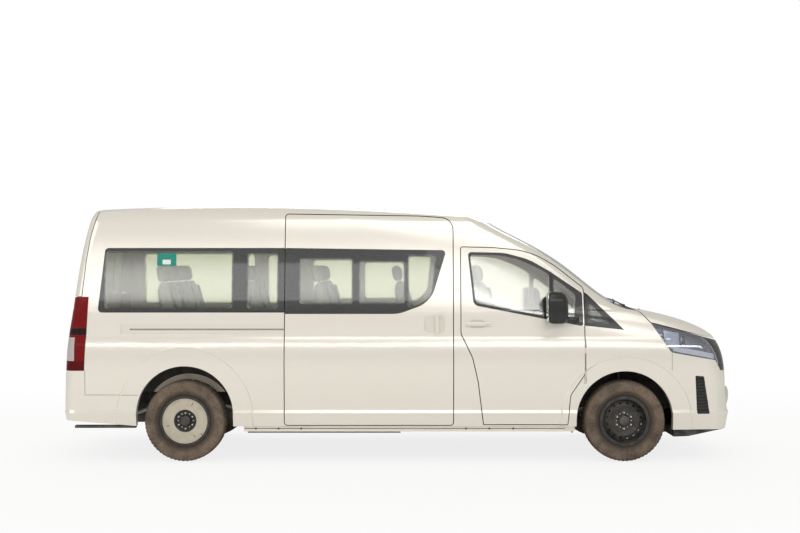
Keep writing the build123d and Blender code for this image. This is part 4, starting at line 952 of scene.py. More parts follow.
class MINIBUS_OT_stage(bpy.types.Operator):
    """Adds the floor, the lamps, the sky and the camera"""

    bl_idname = "minibus.stage"
    bl_label = "Stage"

    def execute(self, context):
        scene = context.scene
        look = scene.minibus_stage
        bm = bmesh.new()
        bmesh.ops.create_grid(bm, x_segments=1, y_segments=1, size=40.0)
        f = Finish("stage_floor", look.floor, 0.9, specular_ior_level=0.1)
        paths = f.node("LightPath")
        seen = Level(f.tree, paths.outputs["Is Camera Ray"])
        glow = f.node("Emission", Color=(1, 1, 1), Strength=1.0)
        x, y, _ = f.axes()
        away = f.ramp((x * x + y * y).root(), 2.5, 8.0)
        share = seen * (away * (1.0 - look.floor_glow) + look.floor_glow)
        mixed = f.node("MixShader", i0=share, i1=f.shader.outputs[0], i2=glow.outputs[0])
        f.show(mixed.outputs[0])
        floor = new_piece("floor_stage", bm, [], None, smooth=0)
        floor.data.materials.append(f.material)
        floor.location.z = -0.002

        def lamp(name, place, target, size, power, color):
            data = bpy.data.lights.new(name, "AREA")
            data.shape = "RECTANGLE"
            data.size, data.size_y = size
            data.energy = power
            data.color = color
            made = bpy.data.objects.new(name, data)
            scene.collection.objects.link(made)
            made.location = place
            made.rotation_euler = (Vector(target) - Vector(place)).to_track_quat("-Z", "Y").to_euler()

        lamp("key_lamp", (1.5, -9.0, 8.0), (0, 0, 1.0), (8, 4), 235, (1.0, 0.99, 0.97))
        lamp("fill_lamp", (-7.0, -5.0, 4.0), (0, 0, 1.2), (5, 3), 72, (1.0, 0.99, 0.98))
        lamp("far_lamp", (0.0, 8.0, 6.0), (0, 0, 1.0), (8, 4), 260, (1.0, 0.99, 0.98))
        lamp("band_lamp", (0.0, -13.0, 4.25), (0, 0, 1.4), (18, 0.8), 190, (1.0, 1.0, 1.0))
        lamp("door_lamp", (3.2, -13.0, 5.5), (1.0, 0, 1.6), (5, 1.3), 40, (1.0, 1.0, 1.0))

        world = bpy.data.worlds.new("studio")
        scene.world = world
        world.use_nodes = True
        tree = world.node_tree
        tree.nodes.clear()
        out = tree.nodes.new("ShaderNodeOutputWorld")
        rays = tree.nodes.new("ShaderNodeLightPath")
        sky = tree.nodes.new("ShaderNodeBackground")
        sky.inputs["Color"].default_value = (1.0, 0.985, 0.95, 1)
        sky.inputs["Strength"].default_value = 0.55
        white = tree.nodes.new("ShaderNodeBackground")
        white.inputs["Color"].default_value = (1, 1, 1, 1)
        most = Level(tree, rays.outputs["Is Camera Ray"])
        most = most.most(Level(tree, rays.outputs["Is Transmission Ray"]))
        mix = tree.nodes.new("ShaderNodeMixShader")
        feed(tree, mix.inputs[0], most)
        tree.links.new(sky.outputs[0], mix.inputs[1])
        tree.links.new(white.outputs[0], mix.inputs[2])
        tree.links.new(mix.outputs[0], out.inputs[0])

        data = bpy.data.cameras.new("camera")
        data.lens = look.lens
        data.sensor_width = 36.0
        data.clip_end = 200.0
        camera = bpy.data.objects.new("camera", data)
        scene.collection.objects.link(camera)
        camera.location = (0.015, -look.distance, look.eye_height)
        camera.rotation_euler = (math.radians(90), 0, 0)
        scene.camera = camera
        scene.view_settings.view_transform = "Standard"
        return {"FINISHED"}


class MINIBUS_OT_tyres(bpy.types.Operator):
    """Replaces each plain tyre with one that has tread blocks, grooves and sidewall ribs"""

    bl_idname = "minibus.tyres"
    bl_label = "Tyres"

    # (radius, distance out from the tyre's middle) from the inner bead over the tread to the outer one
    SECTION = [
        (0.204, -0.076), (0.223, -0.090), (0.232, -0.1005), (0.246, -0.104), (0.262, -0.1165),
        (0.285, -0.1172), (0.305, -0.1172), (0.317, -0.1165), (0.328, -0.112), (0.339, -0.107),
        (0.347, -0.100)]
    RIBS = [-0.092, -0.066, -0.060, -0.054, -0.026, -0.020, -0.014, 0.014, 0.020, 0.026, 0.054, 0.060,
            0.066, 0.092]
    GROOVES = (-0.060, -0.020, 0.020, 0.060)

    def height(self, out, angle, look):
        """How far the tread stands below its full radius."""
        crown = 0.0035 * (out / 0.1) ** 2
        wave = math.sin(angle * look.pitches) * 0.0022
        for groove in self.GROOVES:
            if abs(out - groove - wave) < 0.0046:
                return crown + look.groove
        phase = (angle * look.pitches / (2 * math.pi) + (0.5 if -0.02 < out < 0.06 else 0.0)) % 1.0
        if phase < 0.17 and abs(out) > 0.028:
            return crown + look.groove * 0.8
        return crown

    def execute(self, context):
        look = context.scene.minibus_wheels
        steps = look.pitches * 6
        for end, middle in (("front", FRONT_WHEEL), ("rear", REAR_WHEEL)):
            for side, sign in SIDES:
                node = f"tyre_{end}_{side}"
                centre = (middle.x, sign * WHEEL_Y, AXLE_Z)
                full = AXLE_Z
                bm = bmesh.new()
                rings = []
                for k in range(steps):
                    angle = 2 * math.pi * k / steps
                    direction = Vector((math.cos(angle), 0, math.sin(angle)))
                    lug = 0.0025 if (k // 3) % 2 else 0.0
                    ring = []
                    for r, out in self.SECTION:
                        ring.append((r, out - (lug if 0.318 < r < 0.34 else 0)))
                    for out in self.RIBS:
                        ring.append((full - 0.0005 - self.height(out, angle, look), out))
                    for r, out in reversed(self.SECTION):
                        ring.append((r, -out + (lug if 0.318 < r < 0.34 else 0)))
                    rings.append([bm.verts.new(Vector(centre) + direction * r + Vector((0, sign * out, 0)))
                                  for r, out in ring])
                for k in range(steps):
                    a, b = rings[k], rings[(k + 1) % steps]
                    for i in range(len(a) - 1):
                        bm.faces.new((a[i], a[i + 1], b[i + 1], b[i]))
                    bm.faces.new((a[-1], a[0], b[0], b[-1]))
                new_piece(f"tread_{end}_{side}", bm, "tyre_rubber", f"wheel_{end}_{side}", "tyre", [node],
                          smooth=math.radians(28))
        return {"FINISHED"}


class MINIBUS_OT_wheel_parts(bpy.types.Operator):
    """Adds nuts, studs, hub caps, the marks on the rear covers, valves and brakes"""

    bl_idname = "minibus.wheel_parts"
    bl_label = "Wheel parts"

    def execute(self, context):
        face = WHEEL_Y + HUB_OUT + 0.008
        for end, middle in (("front", FRONT_WHEEL), ("rear", REAR_WHEEL)):
            for side, sign in SIDES:
                body = f"wheel_{end}_{side}"
                centre = Vector((middle.x, 0, AXLE_Z))
                nuts = bmesh.new()
                for i in range(6):
                    angle = math.radians(60 * i + 30)
                    spot = centre + Vector((math.cos(angle), 0, math.sin(angle))) * STUD_RADIUS
                    lathe([(0, face + 0.024), (0.0075, face + 0.023), (0.0115, face + 0.019),
                           (0.0125, face + 0.003),
                           (0.0145, face + 0.0015), (0.0145, face)], spot, sign, 6, nuts, start=angle)
                for i in range(6):
                    angle = math.radians(60 * i)
                    spot = centre + Vector((math.cos(angle), 0, math.sin(angle))) * (STUD_RADIUS - 0.004)
                    lathe([(0, face + 0.007), (0.0045, face + 0.006), (0.006, face)], spot, sign, 12, nuts)
                new_piece(f"wheel_nuts_{end}_{side}", nuts, "bright_steel", body, "bright",
                          smooth=math.radians(20))
                cap = lathe([(0, face + 0.034), (0.030, face + 0.033), (0.042, face + 0.027),
                             (0.047, face + 0.010),
                             (0.052, face + 0.004), (0.052, face - 0.002)], centre, sign, 40)
                new_piece(f"hub_cap_{end}_{side}", cap, "hub_black", body, "black_steel")
                if end == "rear":
                    out = WHEEL_Y + COVER_OUT
                    marks = bmesh.new()
                    for angle in (67, 196, 302):
                        turn = math.radians(angle)
                        spoke = Vector((math.cos(turn), 0, math.sin(turn)))
                        low, high = Vector((-0.003, -0.0008, -0.014)), Vector((0.003, 0.0008, 0.014))
                        made = bead(marks, low, high, 0.0035)
                        swing = Matrix.Rotation(math.pi / 2 - turn, 3, "Y")
                        bmesh.ops.rotate(marks, verts=made, matrix=swing)
                        bmesh.ops.translate(marks, verts=made,
                                            vec=centre + spoke * 0.158 + Vector((0, sign * out, 0)))
                    lathe([(0, out + 0.001), (0.006, out + 0.001), (0.007, out - 0.001)],
                          centre + Vector((0.144, 0, -0.117)), sign, 16, marks)
                    new_piece(f"cover_slits_{side}", marks, "hub_black", body, "black_steel", smooth=0)
                    hoop = lathe([(0.099, out - 0.006), (0.0985, out - 0.001), (0.101, out + 0.0012),
                                  (0.104, out + 0.0004)], centre, sign, 72)
                    lathe([(0.190, out + 0.0004), (0.193, out + 0.0014), (0.1965, out - 0.002)], centre,
                          sign, 96, hoop)
                    new_piece(f"cover_hoops_{side}", hoop, "cream_disc", body, "cream_steel")
                valve = sweep([[centre + Vector((-0.196, sign * (WHEEL_Y + 0.060), -0.028)),
                                centre + Vector((-0.203, sign * (WHEEL_Y + 0.094), -0.029))]], 0.0045, 10)
                new_piece(f"tyre_valve_{end}_{side}", valve, "bright_steel", body, "bright")
        outer = ((FRONT_AXLE - 0.172, -0.862, AXLE_Z - 0.070), (FRONT_AXLE - 0.095, -0.827, AXLE_Z + 0.070))
        inner = ((FRONT_AXLE - 0.172, -0.796, AXLE_Z - 0.060), (FRONT_AXLE - 0.095, -0.750, AXLE_Z + 0.060))
        bridge = ((FRONT_AXLE - 0.184, -0.850, AXLE_Z - 0.050), (FRONT_AXLE - 0.171, -0.760, AXLE_Z + 0.050))
        caliper = beads(outer, inner, bridge, radius=0.006)
        pair("brake_caliper", caliper, "cast_iron", ("steer_right", "steer_left"), slot="cast")
        hub = Vector((FRONT_AXLE, 0, AXLE_Z))
        rotor = lathe([(0.062, 0.800), (0.062, 0.868), (0.078, 0.868), (0.080, 0.824), (0.168, 0.824),
                       (0.168, 0.800)], hub,
                      -1, 64)
        pair("brake_rotor", rotor, "cast_iron", ("wheel_front_right", "wheel_front_left"), slot="cast")
        drum = lathe([(0.100, 0.740), (0.160, 0.742), (0.168, 0.752), (0.168, 0.858), (0.150, 0.868),
                      (0.062, 0.868)],
                     Vector((REAR_AXLE, 0, AXLE_Z)), -1, 64)
        pair("brake_drum", drum, "cast_iron", ("wheel_rear_right", "wheel_rear_left"), slot="cast")
        return {"FINISHED"}


class MINIBUS_OT_headlamps(bpy.types.Operator):
    """Opens each headlamp into a lens, a housing and the lights inside"""

    bl_idname = "minibus.headlamps"
    bl_label = "Headlamps"

    REFLECTOR = [(2.338, 1.158), (2.470, 1.128), (2.476, 1.010), (2.405, 0.990), (2.350, 1.030)]
    STRIP = [(2.410, 0.972), (2.788, 0.900), (2.800, 0.945), (2.425, 1.012)]
    CORNER = [(2.772, 1.040), (2.815, 1.020), (2.822, 0.860), (2.790, 0.900)]

    def execute(self, context):
        outer = lambda n, c: n.x > 0.003 and n.y < -0.003
        right = lambda c: c.y < 0
        skin = Skin("headlamps")
        lens = node_sheet("headlamps", lambda n, c: right(c) and outer(n, c), 0.0, 0.003)
        tub = node_sheet("headlamps", lambda n, c: right(c) and not outer(n, c), -0.0004, 0.002)
        # the lenses stand for the CAD node, as one piece with its left-hand twin
        both = joined(lens.copy(), mirrored(lens))
        lens.free()
        new_piece("headlamp_lenses", both, "lamp_lens", "body", "lamp_clear", ["headlamps"])
        pair("headlamp_housing", tub, "lamp_dark", "body", slot="black_plastic")

        bowl = patch(skin, "right", self.REFLECTOR, -0.026, 0.003, 0.012)
        ribs = []
        for k in range(11):
            z = 1.012 + k * 0.0118
            path = lay(skin, "right", [(2.350, z), (2.470, z)], -0.019, 0.012)
            if len(path) > 2:
                ribs.append(path)
        pair("headlamp_reflector", joined(bowl, sweep(ribs, 0.0048, 8)), "lamp_mirror", "body", slot="bright")
        strip = patch(skin, "right", self.STRIP, -0.014, 0.004, 0.02)
        front = [(-0.845, 0.905), (-0.500, 0.862), (-0.490, 0.905), (-0.835, 0.950)]
        strip = joined(strip, patch(skin, "front", front, -0.014, 0.004, 0.02))
        pair("headlamp_light_bar", strip, "lamp_white", "body", slot="lamp_clear")
        corner = patch(skin, "right", self.CORNER, -0.010, 0.004, 0.015)
        pair("headlamp_indicator", corner, "amber_dark", "body", slot="lamp_clear")
        barrel = [(0.040, -0.030), (0.046, -0.012), (0.045, 0.004), (0.040, 0.009), (0.036, 0.006),
                  (0.033, 0.000)]
        glass = [(0.033, 0.000), (0.029, 0.011), (0.018, 0.019), (0.007, 0.022), (0.0, 0.0225)]
        places = []
        for view, a, b, way in (("right", 2.510, 1.075, (0.75, -0.66, 0)),
                                ("front", -0.735, 0.995, (1, -0.25, 0)),
                                ("front", -0.600, 0.975, (1, -0.1, 0))):
            point, normal = skin.hit(view, a, b)
            places.append((point - normal * 0.036, way))
        pair("headlamp_bezels", joined(*[disc(p, d, barrel) for p, d in places]), "satin_chrome", "body",
             slot="bright")
        pair("headlamp_projectors", joined(*[disc(p, d, glass) for p, d in places]), "lamp_ball", "body",
             slot="lamp_clear")
        fins = []
        for k in range(5):
            z = 1.010 + k * 0.020
            path = lay(skin, "right", [(2.585, z - 0.004), (2.745, z - 0.016)], -0.022, 0.02)
            fins.append(path)
        pair("headlamp_fins", sweep([f for f in fins if len(f) > 2], 0.0026, 6), "satin_chrome", "body",
             slot="bright")
        return {"FINISHED"}


class MINIBUS_OT_tail_lamps(bpy.types.Operator):
    """Lays ribs and frames on the tail lamps"""

    bl_idname = "minibus.tail_lamps"
    bl_label = "Tail lamps"

    def execute(self, context):
        skin = Skin("tail_lamps")
        ribs = []
        for k in range(15):
            z = 0.898 + k * 0.0128
            ribs.append(lay(skin, "right", [(TAIL + 0.050, z), (TAIL + 0.108, z)], 0.0008, 0.012))
        for k in range(17):
            z = 1.195 + k * 0.0135
            ribs.append(lay(skin, "right", [(TAIL + 0.080, z), (TAIL + 0.170, z)], 0.0004, 0.016))
        pair("tail_lamp_ribs", sweep([r for r in ribs if len(r) > 2], 0.0012, 6), "tail_lamp", "body",
             slot="lamp_red")
        frames = [lay(skin, "right", [(TAIL + 0.121, 0.884), (TAIL + 0.121, 1.092)], 0.0008, 0.02),
                  lay(skin, "right", [(TAIL + 0.060, 1.111), (TAIL + 0.205, 1.111)], 0.0008, 0.02),
                  lay(skin, "right", [(TAIL + 0.060, 1.171), (TAIL + 0.207, 1.171)], 0.0008, 0.02)]
        pair("tail_lamp_frames", sweep([r for r in frames if len(r) > 2], 0.0022, 6), "tail_deep", "body",
             slot="lamp_red")
        return {"FINISHED"}


class MINIBUS_OT_seams(bpy.types.Operator):
    """Adds seals in the gaps of the doors, and the lines where fixed panels meet"""

    bl_idname = "minibus.seams"
    bl_label = "Seams"

    FRONT_DOOR = [
        (DOOR_REAR, GLASS_TOP + 0.010), (DOOR_REAR, 1.123), (DOOR_REAR + 0.101, 0.913),
        (DOOR_REAR + 0.150, 0.700), (DOOR_REAR + 0.197, SILL + 0.014), (DOOR_FRONT - 0.151, SILL + 0.014),
        (DOOR_FRONT - 0.128, 0.585), (DOOR_FRONT, 0.775), (DOOR_FRONT, 1.524), (DOOR_FRONT - 0.249, 1.719),
        (DOOR_FRONT - 0.395, 1.806), (DOOR_FRONT - 0.560, 1.858), (DOOR_FRONT - 0.800, GLASS_TOP + 0.004)]
    FRONT_DOOR_RADII = [0.020, 0.060, 0.200, 0.300, 0.010, 0.010, 0.090, 0.090, 0.060, 0.5, 0.5, 0.5, 0.5]
    SLIDING_DOOR = [
        (SLIDE_REAR, SILL + 0.008), (SLIDE_FRONT, SILL + 0.008), (SLIDE_FRONT, 2.142),
        (SLIDE_FRONT - 0.300, 2.162), (SLIDE_REAR, 2.180)]
    SLIDING_DOOR_RADII = [0.030, 0.030, 0.110, 0.900, 0.030]

    def seal(self, skin, outline, inset=0.014):
        """A closed path in the middle of a gap, at a depth behind the skin next to it."""
        look = bpy.context.scene.minibus_body
        middle = Vector((sum(p[0] for p in outline) / len(outline),
                         sum(p[1] for p in outline) / len(outline)))
        path = []
        count = len(outline)
        for i, here in enumerate(outline):
            ahead = Vector(outline[(i + 1) % count])
            here = Vector(here)
            parts = max(1, round((ahead - here).length / 0.06))
            for k in range(parts):
                flat = here.lerp(ahead, k / parts)
                inner = flat + (middle - flat).normalized() * inset
                point, _ = skin.hit("right", inner.x, inner.y)
                if point is not None:
                    path.append(Vector((flat.x, point.y + look.seal_depth, flat.y)))
        return path

    def execute(self, context):
        front = rounded(self.FRONT_DOOR, self.FRONT_DOOR_RADII)
        door = sweep([self.seal(Skin("door_right", "door_glass_right"), front)], 0.0034, 8, True)
        pair("front_door_seal", door, "seam_rubber", FRONT_DOORS, slot="black_plastic")
        slide = rounded(self.SLIDING_DOOR, self.SLIDING_DOOR_RADII)
        body = sweep([self.seal(Skin("sliding_door", "side_glass_right"), slide)], 0.0034, 8, True)
        new_piece("sliding_door_seal", body, "seam_rubber", "body", "black_plastic")

        skin = Skin("side_right", "rear_bumper", "fender_right", "front_bumper", "headlamps", "tail_lamps",
                    "bonnet",
                    "pillar_trim", "grille")
        lines = [
            [(REAR_AXLE - 0.387, 0.470), (REAR_AXLE - 0.387, 0.587), (TAIL + 0.212, 0.587),
             (TAIL + 0.212, TAIL_LAMP_FOOT),
             (TAIL + 0.020, TAIL_LAMP_FOOT)],
            [(TAIL + 0.205, TAIL_LAMP_FOOT), (TAIL + 0.232, 1.445)],
            [(BUMPER_SEAM, 0.800), (BUMPER_SEAM, 0.960), (FRONT_AXLE + 0.804, 0.891),
             (FRONT_AXLE + 0.850, 0.800),
             (FRONT_AXLE + 0.925, 0.798)],
        ]
        paths = [lay(skin, "right", line, PROUD, 0.02) for line in lines]
        pair("panel_lines", sweep([p for p in paths if len(p) > 2], 0.0016, 6), "seam_rubber", "body",
             slot="black_plastic")
        return {"FINISHED"}


class MINIBUS_OT_mirrors(bpy.types.Operator):
    """Replaces each plain mirror with a moulded shell, its arm and the glass"""

    bl_idname = "minibus.mirrors"
    bl_label = "Mirrors"

    def execute(self, context):
        low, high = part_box("mirror_right")
        rear, front, out = FRONT_AXLE - 0.697, FRONT_AXLE - 0.517, low.y
        inner = low.y + 0.205
        shell = bmesh.new()
        # (height, rear edge, front edge, how far each end stands in)
        rows = [(1.216, 0.050, 0.045, 0.050), (1.222, 0.018, 0.022, 0.026), (1.238, 0.006, 0.010, 0.010),
                (1.262, 0.001, 0.004, 0.003), (1.300, 0.000, 0.000, 0.0), (1.410, 0.000, 0.004, 0.0),
                (1.450, 0.001, 0.014, 0.004), (1.476, 0.005, 0.028, 0.012), (1.492, 0.016, 0.046, 0.028),
                (1.499, 0.040, 0.070, 0.055)]
        rings = []
        for z, back, ahead, ends in rows:
            flat = rounded([(rear + back, out + ends), (front - ahead, out + ends + 0.030),
                            (front - ahead, inner - ends),
                            (rear + back, inner - ends)], [0.022, 0.060, 0.040, 0.022], 7)
            rings.append([shell.verts.new((x, y, z)) for x, y in flat])
        for a, b in zip(rings, rings[1:]):
            for k in range(len(a)):
                shell.faces.new((a[k], a[(k + 1) % len(a)], b[(k + 1) % len(a)], b[k]))
        shell.faces.new(rings[0])
        shell.faces.new(list(reversed(rings[-1])))
        arm = bmesh.new()
        bead(arm, (FRONT_AXLE - 0.585, -0.992, 1.226), (FRONT_AXLE - 0.420, -0.926, 1.264), 0.014, segments=4)
        bead(arm, (FRONT_AXLE - 0.500, -0.945, 1.216), (FRONT_AXLE - 0.400, -0.925, 1.274), 0.009, segments=3)
        both = joined(shell, arm)
        for side, sign in SIDES:
            bm = both.copy() if sign < 0 else mirrored(both)
            new_piece(f"mirror_shell_{side}", bm, "gloss_black", f"front_door_{side}", "gloss_black",
                      [f"mirror_{side}"], smooth=math.radians(40))
        both.free()
        glass = bmesh.new()
        bead(glass, (rear - 0.0006, out + 0.022, 1.318), (rear + 0.003, inner - 0.020, 1.478), 0.0012)
        bead(glass, (rear - 0.0006, out + 0.022, 1.240), (rear + 0.003, inner - 0.020, 1.304), 0.0012)
        pair("mirror_glass", glass, "mirror_glass", FRONT_DOORS, slot="bright")
        ridge = sweep([rounded_loop(rear + 0.012, front - 0.010, out - 0.0006, inner, 1.286)], 0.0016, 6)
        pair("mirror_line", ridge, "seam_rubber", FRONT_DOORS, slot="black_plastic")
        return {"FINISHED"}


class MINIBUS_OT_fittings(bpy.types.Operator):
    """Adds plates, lamps, reflectors, wipers, vents, locks and small trim outside"""

    bl_idname = "minibus.fittings"
    bl_label = "Outside fittings"

    def execute(self, context):
        self.side_parts()
        self.front_parts()
        self.rear_parts()
        return {"FINISHED"}

    def side_parts(self):
        """Bumper vents, the sill's drains, painted shade lines along the sill, rails, locks, the fuel flap
        and the sticker.
        """
        bumper = Skin("front_bumper", "fender_right")
        vent = [(FRONT_AXLE + 0.621, 0.756), (FRONT_AXLE + 0.699, 0.747), (FRONT_AXLE + 0.751, 0.419),
                (FRONT_AXLE + 0.639, 0.419)]
        pair("bumper_vent", patch(bumper, "right", vent, 0.0012, 0.004, 0.02), "black_plastic", "body",
             slot="black_plastic")
        slats = []
        for k in range(11):
            z = 0.450 + k * 0.027
            share = (z - 0.419) / 0.335
            slats.append(lay(bumper, "right", [(FRONT_AXLE + 0.646 - 0.016 * share, z),
                                               (FRONT_AXLE + 0.742 - 0.052 * share, z + 0.004)], 0.005, 0.02))
        pair("bumper_vent_slats", sweep(slats, 0.0045, 6), "gloss_black", "body", slot="black_plastic")
        flange = bmesh.new()
        for x in (-1.252, -1.053, -0.853, 0.596, 0.800, 1.010):
            lathe([(0, FLANGE_OUT + 0.0012), (0.008, FLANGE_OUT + 0.0012), (0.0095, FLANGE_OUT - 0.0004)],
                  (x, 0, SILL - 0.023), -1, 16, flange)
        # A dark brown strip along the top edge of the sill flange: painted shade where the flange tucks under
        # the body side.
        flange_shade = beads(((-1.352, -FLANGE_OUT - 0.0012, 0.2845), (1.465, -FLANGE_OUT + 0.0005, 0.2915)),
                      radius=0.0006)
        pair("sill_joint", flange_shade, "road_grime", "body", slot="black_plastic")
        foot = beads(((-1.330, -0.860, 0.244), (0.020, -0.812, 0.2615)), ((TAIL + 0.110, -0.905, 0.292),
                     (REAR_AXLE - 0.440, -0.840, 0.3135)), radius=0.0006)
        pair("sill_shadow_line", foot, "under_plastic", "body", slot="black_plastic")
        pair("sill_drains", flange, "seam_rubber", "body", slot="black_plastic")
        rail = beads(((TAIL + 0.602, -0.918, 1.1555), (SLIDE_REAR - 0.012, -0.902, 1.1655)), radius=0.002)
        new_piece("sliding_door_rail", rail, "bare_steel", "body", "bare_steel")
        locks = disc((DOOR_REAR + 0.232, -0.956, HANDLE_Z), (0, -1, 0),
                     [(0, 0.0012), (0.0075, 0.0012), (0.0090, 0.0002), (0.0092, -0.003)], 24)
        pair("door_locks", locks, "satin_chrome", FRONT_DOORS, slot="bright")
        skin = Skin("side_left")
        flap = rounded([(REAR_AXLE + 0.90, 0.84), (REAR_AXLE + 1.08, 0.84), (REAR_AXLE + 1.08, 1.02),
                        (REAR_AXLE + 0.90, 1.02)], 0.03)
        new_piece("fuel_flap", patch(skin, "left", flap, 0.0010, 0.003, 0.02), "body_paint", "body",
                  "body_paint")
        line = lay(skin, "left", flap, PROUD, 0.02, True)
        new_piece("fuel_flap_line", sweep([line], 0.0018, 6, True), "seam_rubber", "body", "black_plastic")

        glass = Skin("side_glass_right")
        teal = rounded([(-2.128, 1.7185), (-1.959, 1.7185), (-1.959, 1.8315), (-2.128, 1.8315)], 0.004)
        new_piece("window_sticker", patch(glass, "right", teal, 0.0006, 0.0012, 0.03), "sticker_teal",
                  "body", "glass")
        white = rounded([(-2.080, 1.732), (-2.008, 1.732), (-2.008, 1.773), (-2.080, 1.773)], 0.004)
        new_piece("sticker_patch", patch(glass, "right", white, 0.0012, 0.0010, 0.03), "sticker_white",
                  "body", "glass")
        bar = lay(Skin("door_glass_right"), "right",
                  [(DOOR_FRONT - 0.287, 1.262), (DOOR_FRONT - 0.287, 1.640)], 0.001)
        pair("door_window_bar", sweep([bar], 0.010, 8, flat=0.5), "satin_black", FRONT_DOORS,
             slot="black_plastic")
        rim = lay(Skin("side_glass_right"), "right",
                  [(-1.000 - 0.004, 1.316), (TAIL + 0.325, 1.316)], PROUD, 0.03)
        pair("window_foot_line", sweep([rim], 0.003, 6), "seam_rubber", "body", slot="black_plastic")

    def front_parts(self):
        """Number plate, bumper bosses, grille bars, washer jets, cowl slots and wipers."""
        nose = Skin("front_bumper", "grille", "lower_grille", "bonnet", "cowl")
        plate = beads(((NOSE - 0.0165, -PLATE_HALF, 0.708), (NOSE - 0.0145, PLATE_HALF, 0.820)), radius=0.001)
        new_piece("front_number_plate", plate, "plate_white", "body", "body_paint")
        bulge = bmesh.new()
        pad(bulge, (0.110, 0.158, 0.060), (NOSE - 0.034, -0.700, 0.567), frame_axes((0, 1, 0), (0, 0, 1)),
            0.02, 0.5,
            cells=12, power=4.0)
        pair("bumper_corner_boss", bulge, "boss_grey", "body", slot="body_paint")
        screws = joined(*[disc((NOSE - 0.0145, y, 0.765), (1, 0, 0),
                               [(0, 0.002), (0.006, 0.0015), (0.007, 0)], 16)
                          for y in (-PLATE_SCREW, PLATE_SCREW)])
        new_piece("front_plate_screws", screws, "bright_steel", "body", "bright")
        bars = []
        for z in (0.850, 0.905, 0.960, 1.015):
            half = 0.455 - (z - 0.80) * 0.29
            bars.append(lay(nose, "front", [(-half, z), (half, z)], 0.0015, 0.04))
        new_piece("grille_bars", sweep([b for b in bars if len(b) > 3], 0.007, 8), "satin_chrome", "body",
                  "bright")
        jets = joined(*[disc((FRONT_AXLE + 0.24, y, nose.hit("top", FRONT_AXLE + 0.24, y)[0].z), (0.3, 0, 1),
                             [(0, 0.007), (0.006, 0.006), (0.010, 0.001), (0.011, -0.003)], 16)
                             for y in (-0.32, 0.32)])
        new_piece("washer_jets", jets, "black_plastic", "bonnet", "black_plastic")
        slots = []
        for k in range(28):
            y = -0.66 + k * 0.0489
            point, _ = nose.hit("top", COWL_X - 0.055, y)
            if point is not None:
                slots.append([point + Vector((-0.022, 0, 0.0015)), point + Vector((0.020, 0, -0.0005))])
        new_piece("cowl_slots", sweep(slots, 0.0035, 6, flat=0.5), "seam_rubber", "body", "black_plastic")
        screen, over = Skin("windscreen"), Skin("windscreen", "cowl", "bonnet")
        blades, arms, pivots = [], [], []
        for near, far in ((-0.62, 0.02), (0.08, 0.68)):
            low = []
            for k in range(13):
                y = near + (far - near) * k / 12
                point, normal = screen.hit("front", y, BELT + 0.052 + 0.020 * k / 12)
                if point is not None:
                    low.append(point + normal * 0.008)
            blades.append(low)
            pivot = nose.hit("top", COWL_X - 0.085, near + 0.10)[0] + Vector((0, 0, 0.012))
            middle = low[len(low) // 2]
            arm = [pivot]
            for share in (0.35, 0.6, 0.85):
                flat = pivot.lerp(middle, share)
                point, normal = over.hit("top", flat.x, flat.y)
                arm.append(point + normal * 0.012)
            arms.append(smooth_path(arm + [middle + Vector((0.004, 0, 0.006))], 5))
            pivots.append(disc(pivot, (0.25, 0, 1),
                               [(0, 0.010), (0.012, 0.008), (0.016, -0.004), (0.016, -0.016)], 20))
        new_piece("wiper_blades", sweep(blades, 0.006, 6), "seam_rubber", "body", "black_plastic")
        new_piece("wiper_arms", joined(sweep(arms, 0.006, 8, flat=0.6), *pivots), "black_plastic", "body",
                  "black_plastic")

    def rear_parts(self):
        """Number plate, handle trim, lamps, reflectors and the rear wiper."""
        back = Skin("tailgate", "tailgate_glass", "rear_bumper")

        def at(y, z):
            point, _ = back.hit("rear", y, z)
            return point.x

        plate_x = at(0.0, 0.865)
        plate = beads(((plate_x - 0.0025, -PLATE_HALF, 0.808), (plate_x - 0.0002, PLATE_HALF, 0.922)),
                      radius=0.001)
        new_piece("rear_number_plate", plate, "plate_white", "tailgate", "body_paint")
        screws = joined(*[disc((plate_x - 0.0024, y, 0.865), (-1, 0, 0),
                               [(0, 0.002), (0.006, 0.0015), (0.007, 0)], 16)
                          for y in (-PLATE_SCREW, PLATE_SCREW)])
        new_piece("rear_plate_screws", screws, "bright_steel", "tailgate", "bright")
        x = at(0.0, 1.00)
        trim = beads(((x - 0.014, -0.34, 0.975), (x + 0.010, 0.34, 1.035)), radius=0.012, segments=4)
        new_piece("tailgate_handle", trim, "body_paint", "tailgate", "body_paint")
        lamps = beads(((x - 0.010, -0.20, 0.966), (x + 0.006, -0.12, 0.977)),
                      ((x - 0.010, 0.12, 0.966), (x + 0.006, 0.20, 0.977)),
                      radius=0.003)
        new_piece("plate_lamps", lamps, "lamp_white", "tailgate", "lamp_clear")
        x = at(0.0, 1.985)
        stop = beads(((x - 0.003, -0.16, 1.972), (x + 0.008, 0.16, 1.998)), radius=0.004, segments=3)
        new_piece("high_stop_lamp", stop, "tail_red", "tailgate", "lamp_red")
        marks = []
        for y in (-0.70, 0.70):
            x = min(at(y - 0.05, 0.44), at(y + 0.05, 0.44))
            marks.append(((x - 0.0015, y - 0.055, 0.418), (x + 0.010, y + 0.055, 0.462)))
        new_piece("rear_reflectors", beads(*marks, radius=0.005, segments=3), "tail_deep", "body", "lamp_red")
        pivot = Vector((at(0.0, 1.372) - 0.010, 0.0, 1.372))
        blade = []
        for k in range(12):
            y = 0.02 + 0.036 * k
            point, normal = back.hit("rear", y, 1.425)
            blade.append(point + normal * 0.008)
        arm = smooth_path([pivot, pivot + Vector((-0.012, 0.10, 0.03)), blade[6] + Vector((-0.006, 0, 0))], 6)
        cap = disc(pivot, (-1, 0, 0.1), [(0, 0.012), (0.016, 0.010), (0.022, -0.002), (0.022, -0.012)], 24)
        new_piece("rear_wiper", joined(sweep([arm], 0.006, 8, flat=0.6), sweep([blade], 0.0055, 6), cap),
                  "black_plastic",
                  "tailgate", "black_plastic")


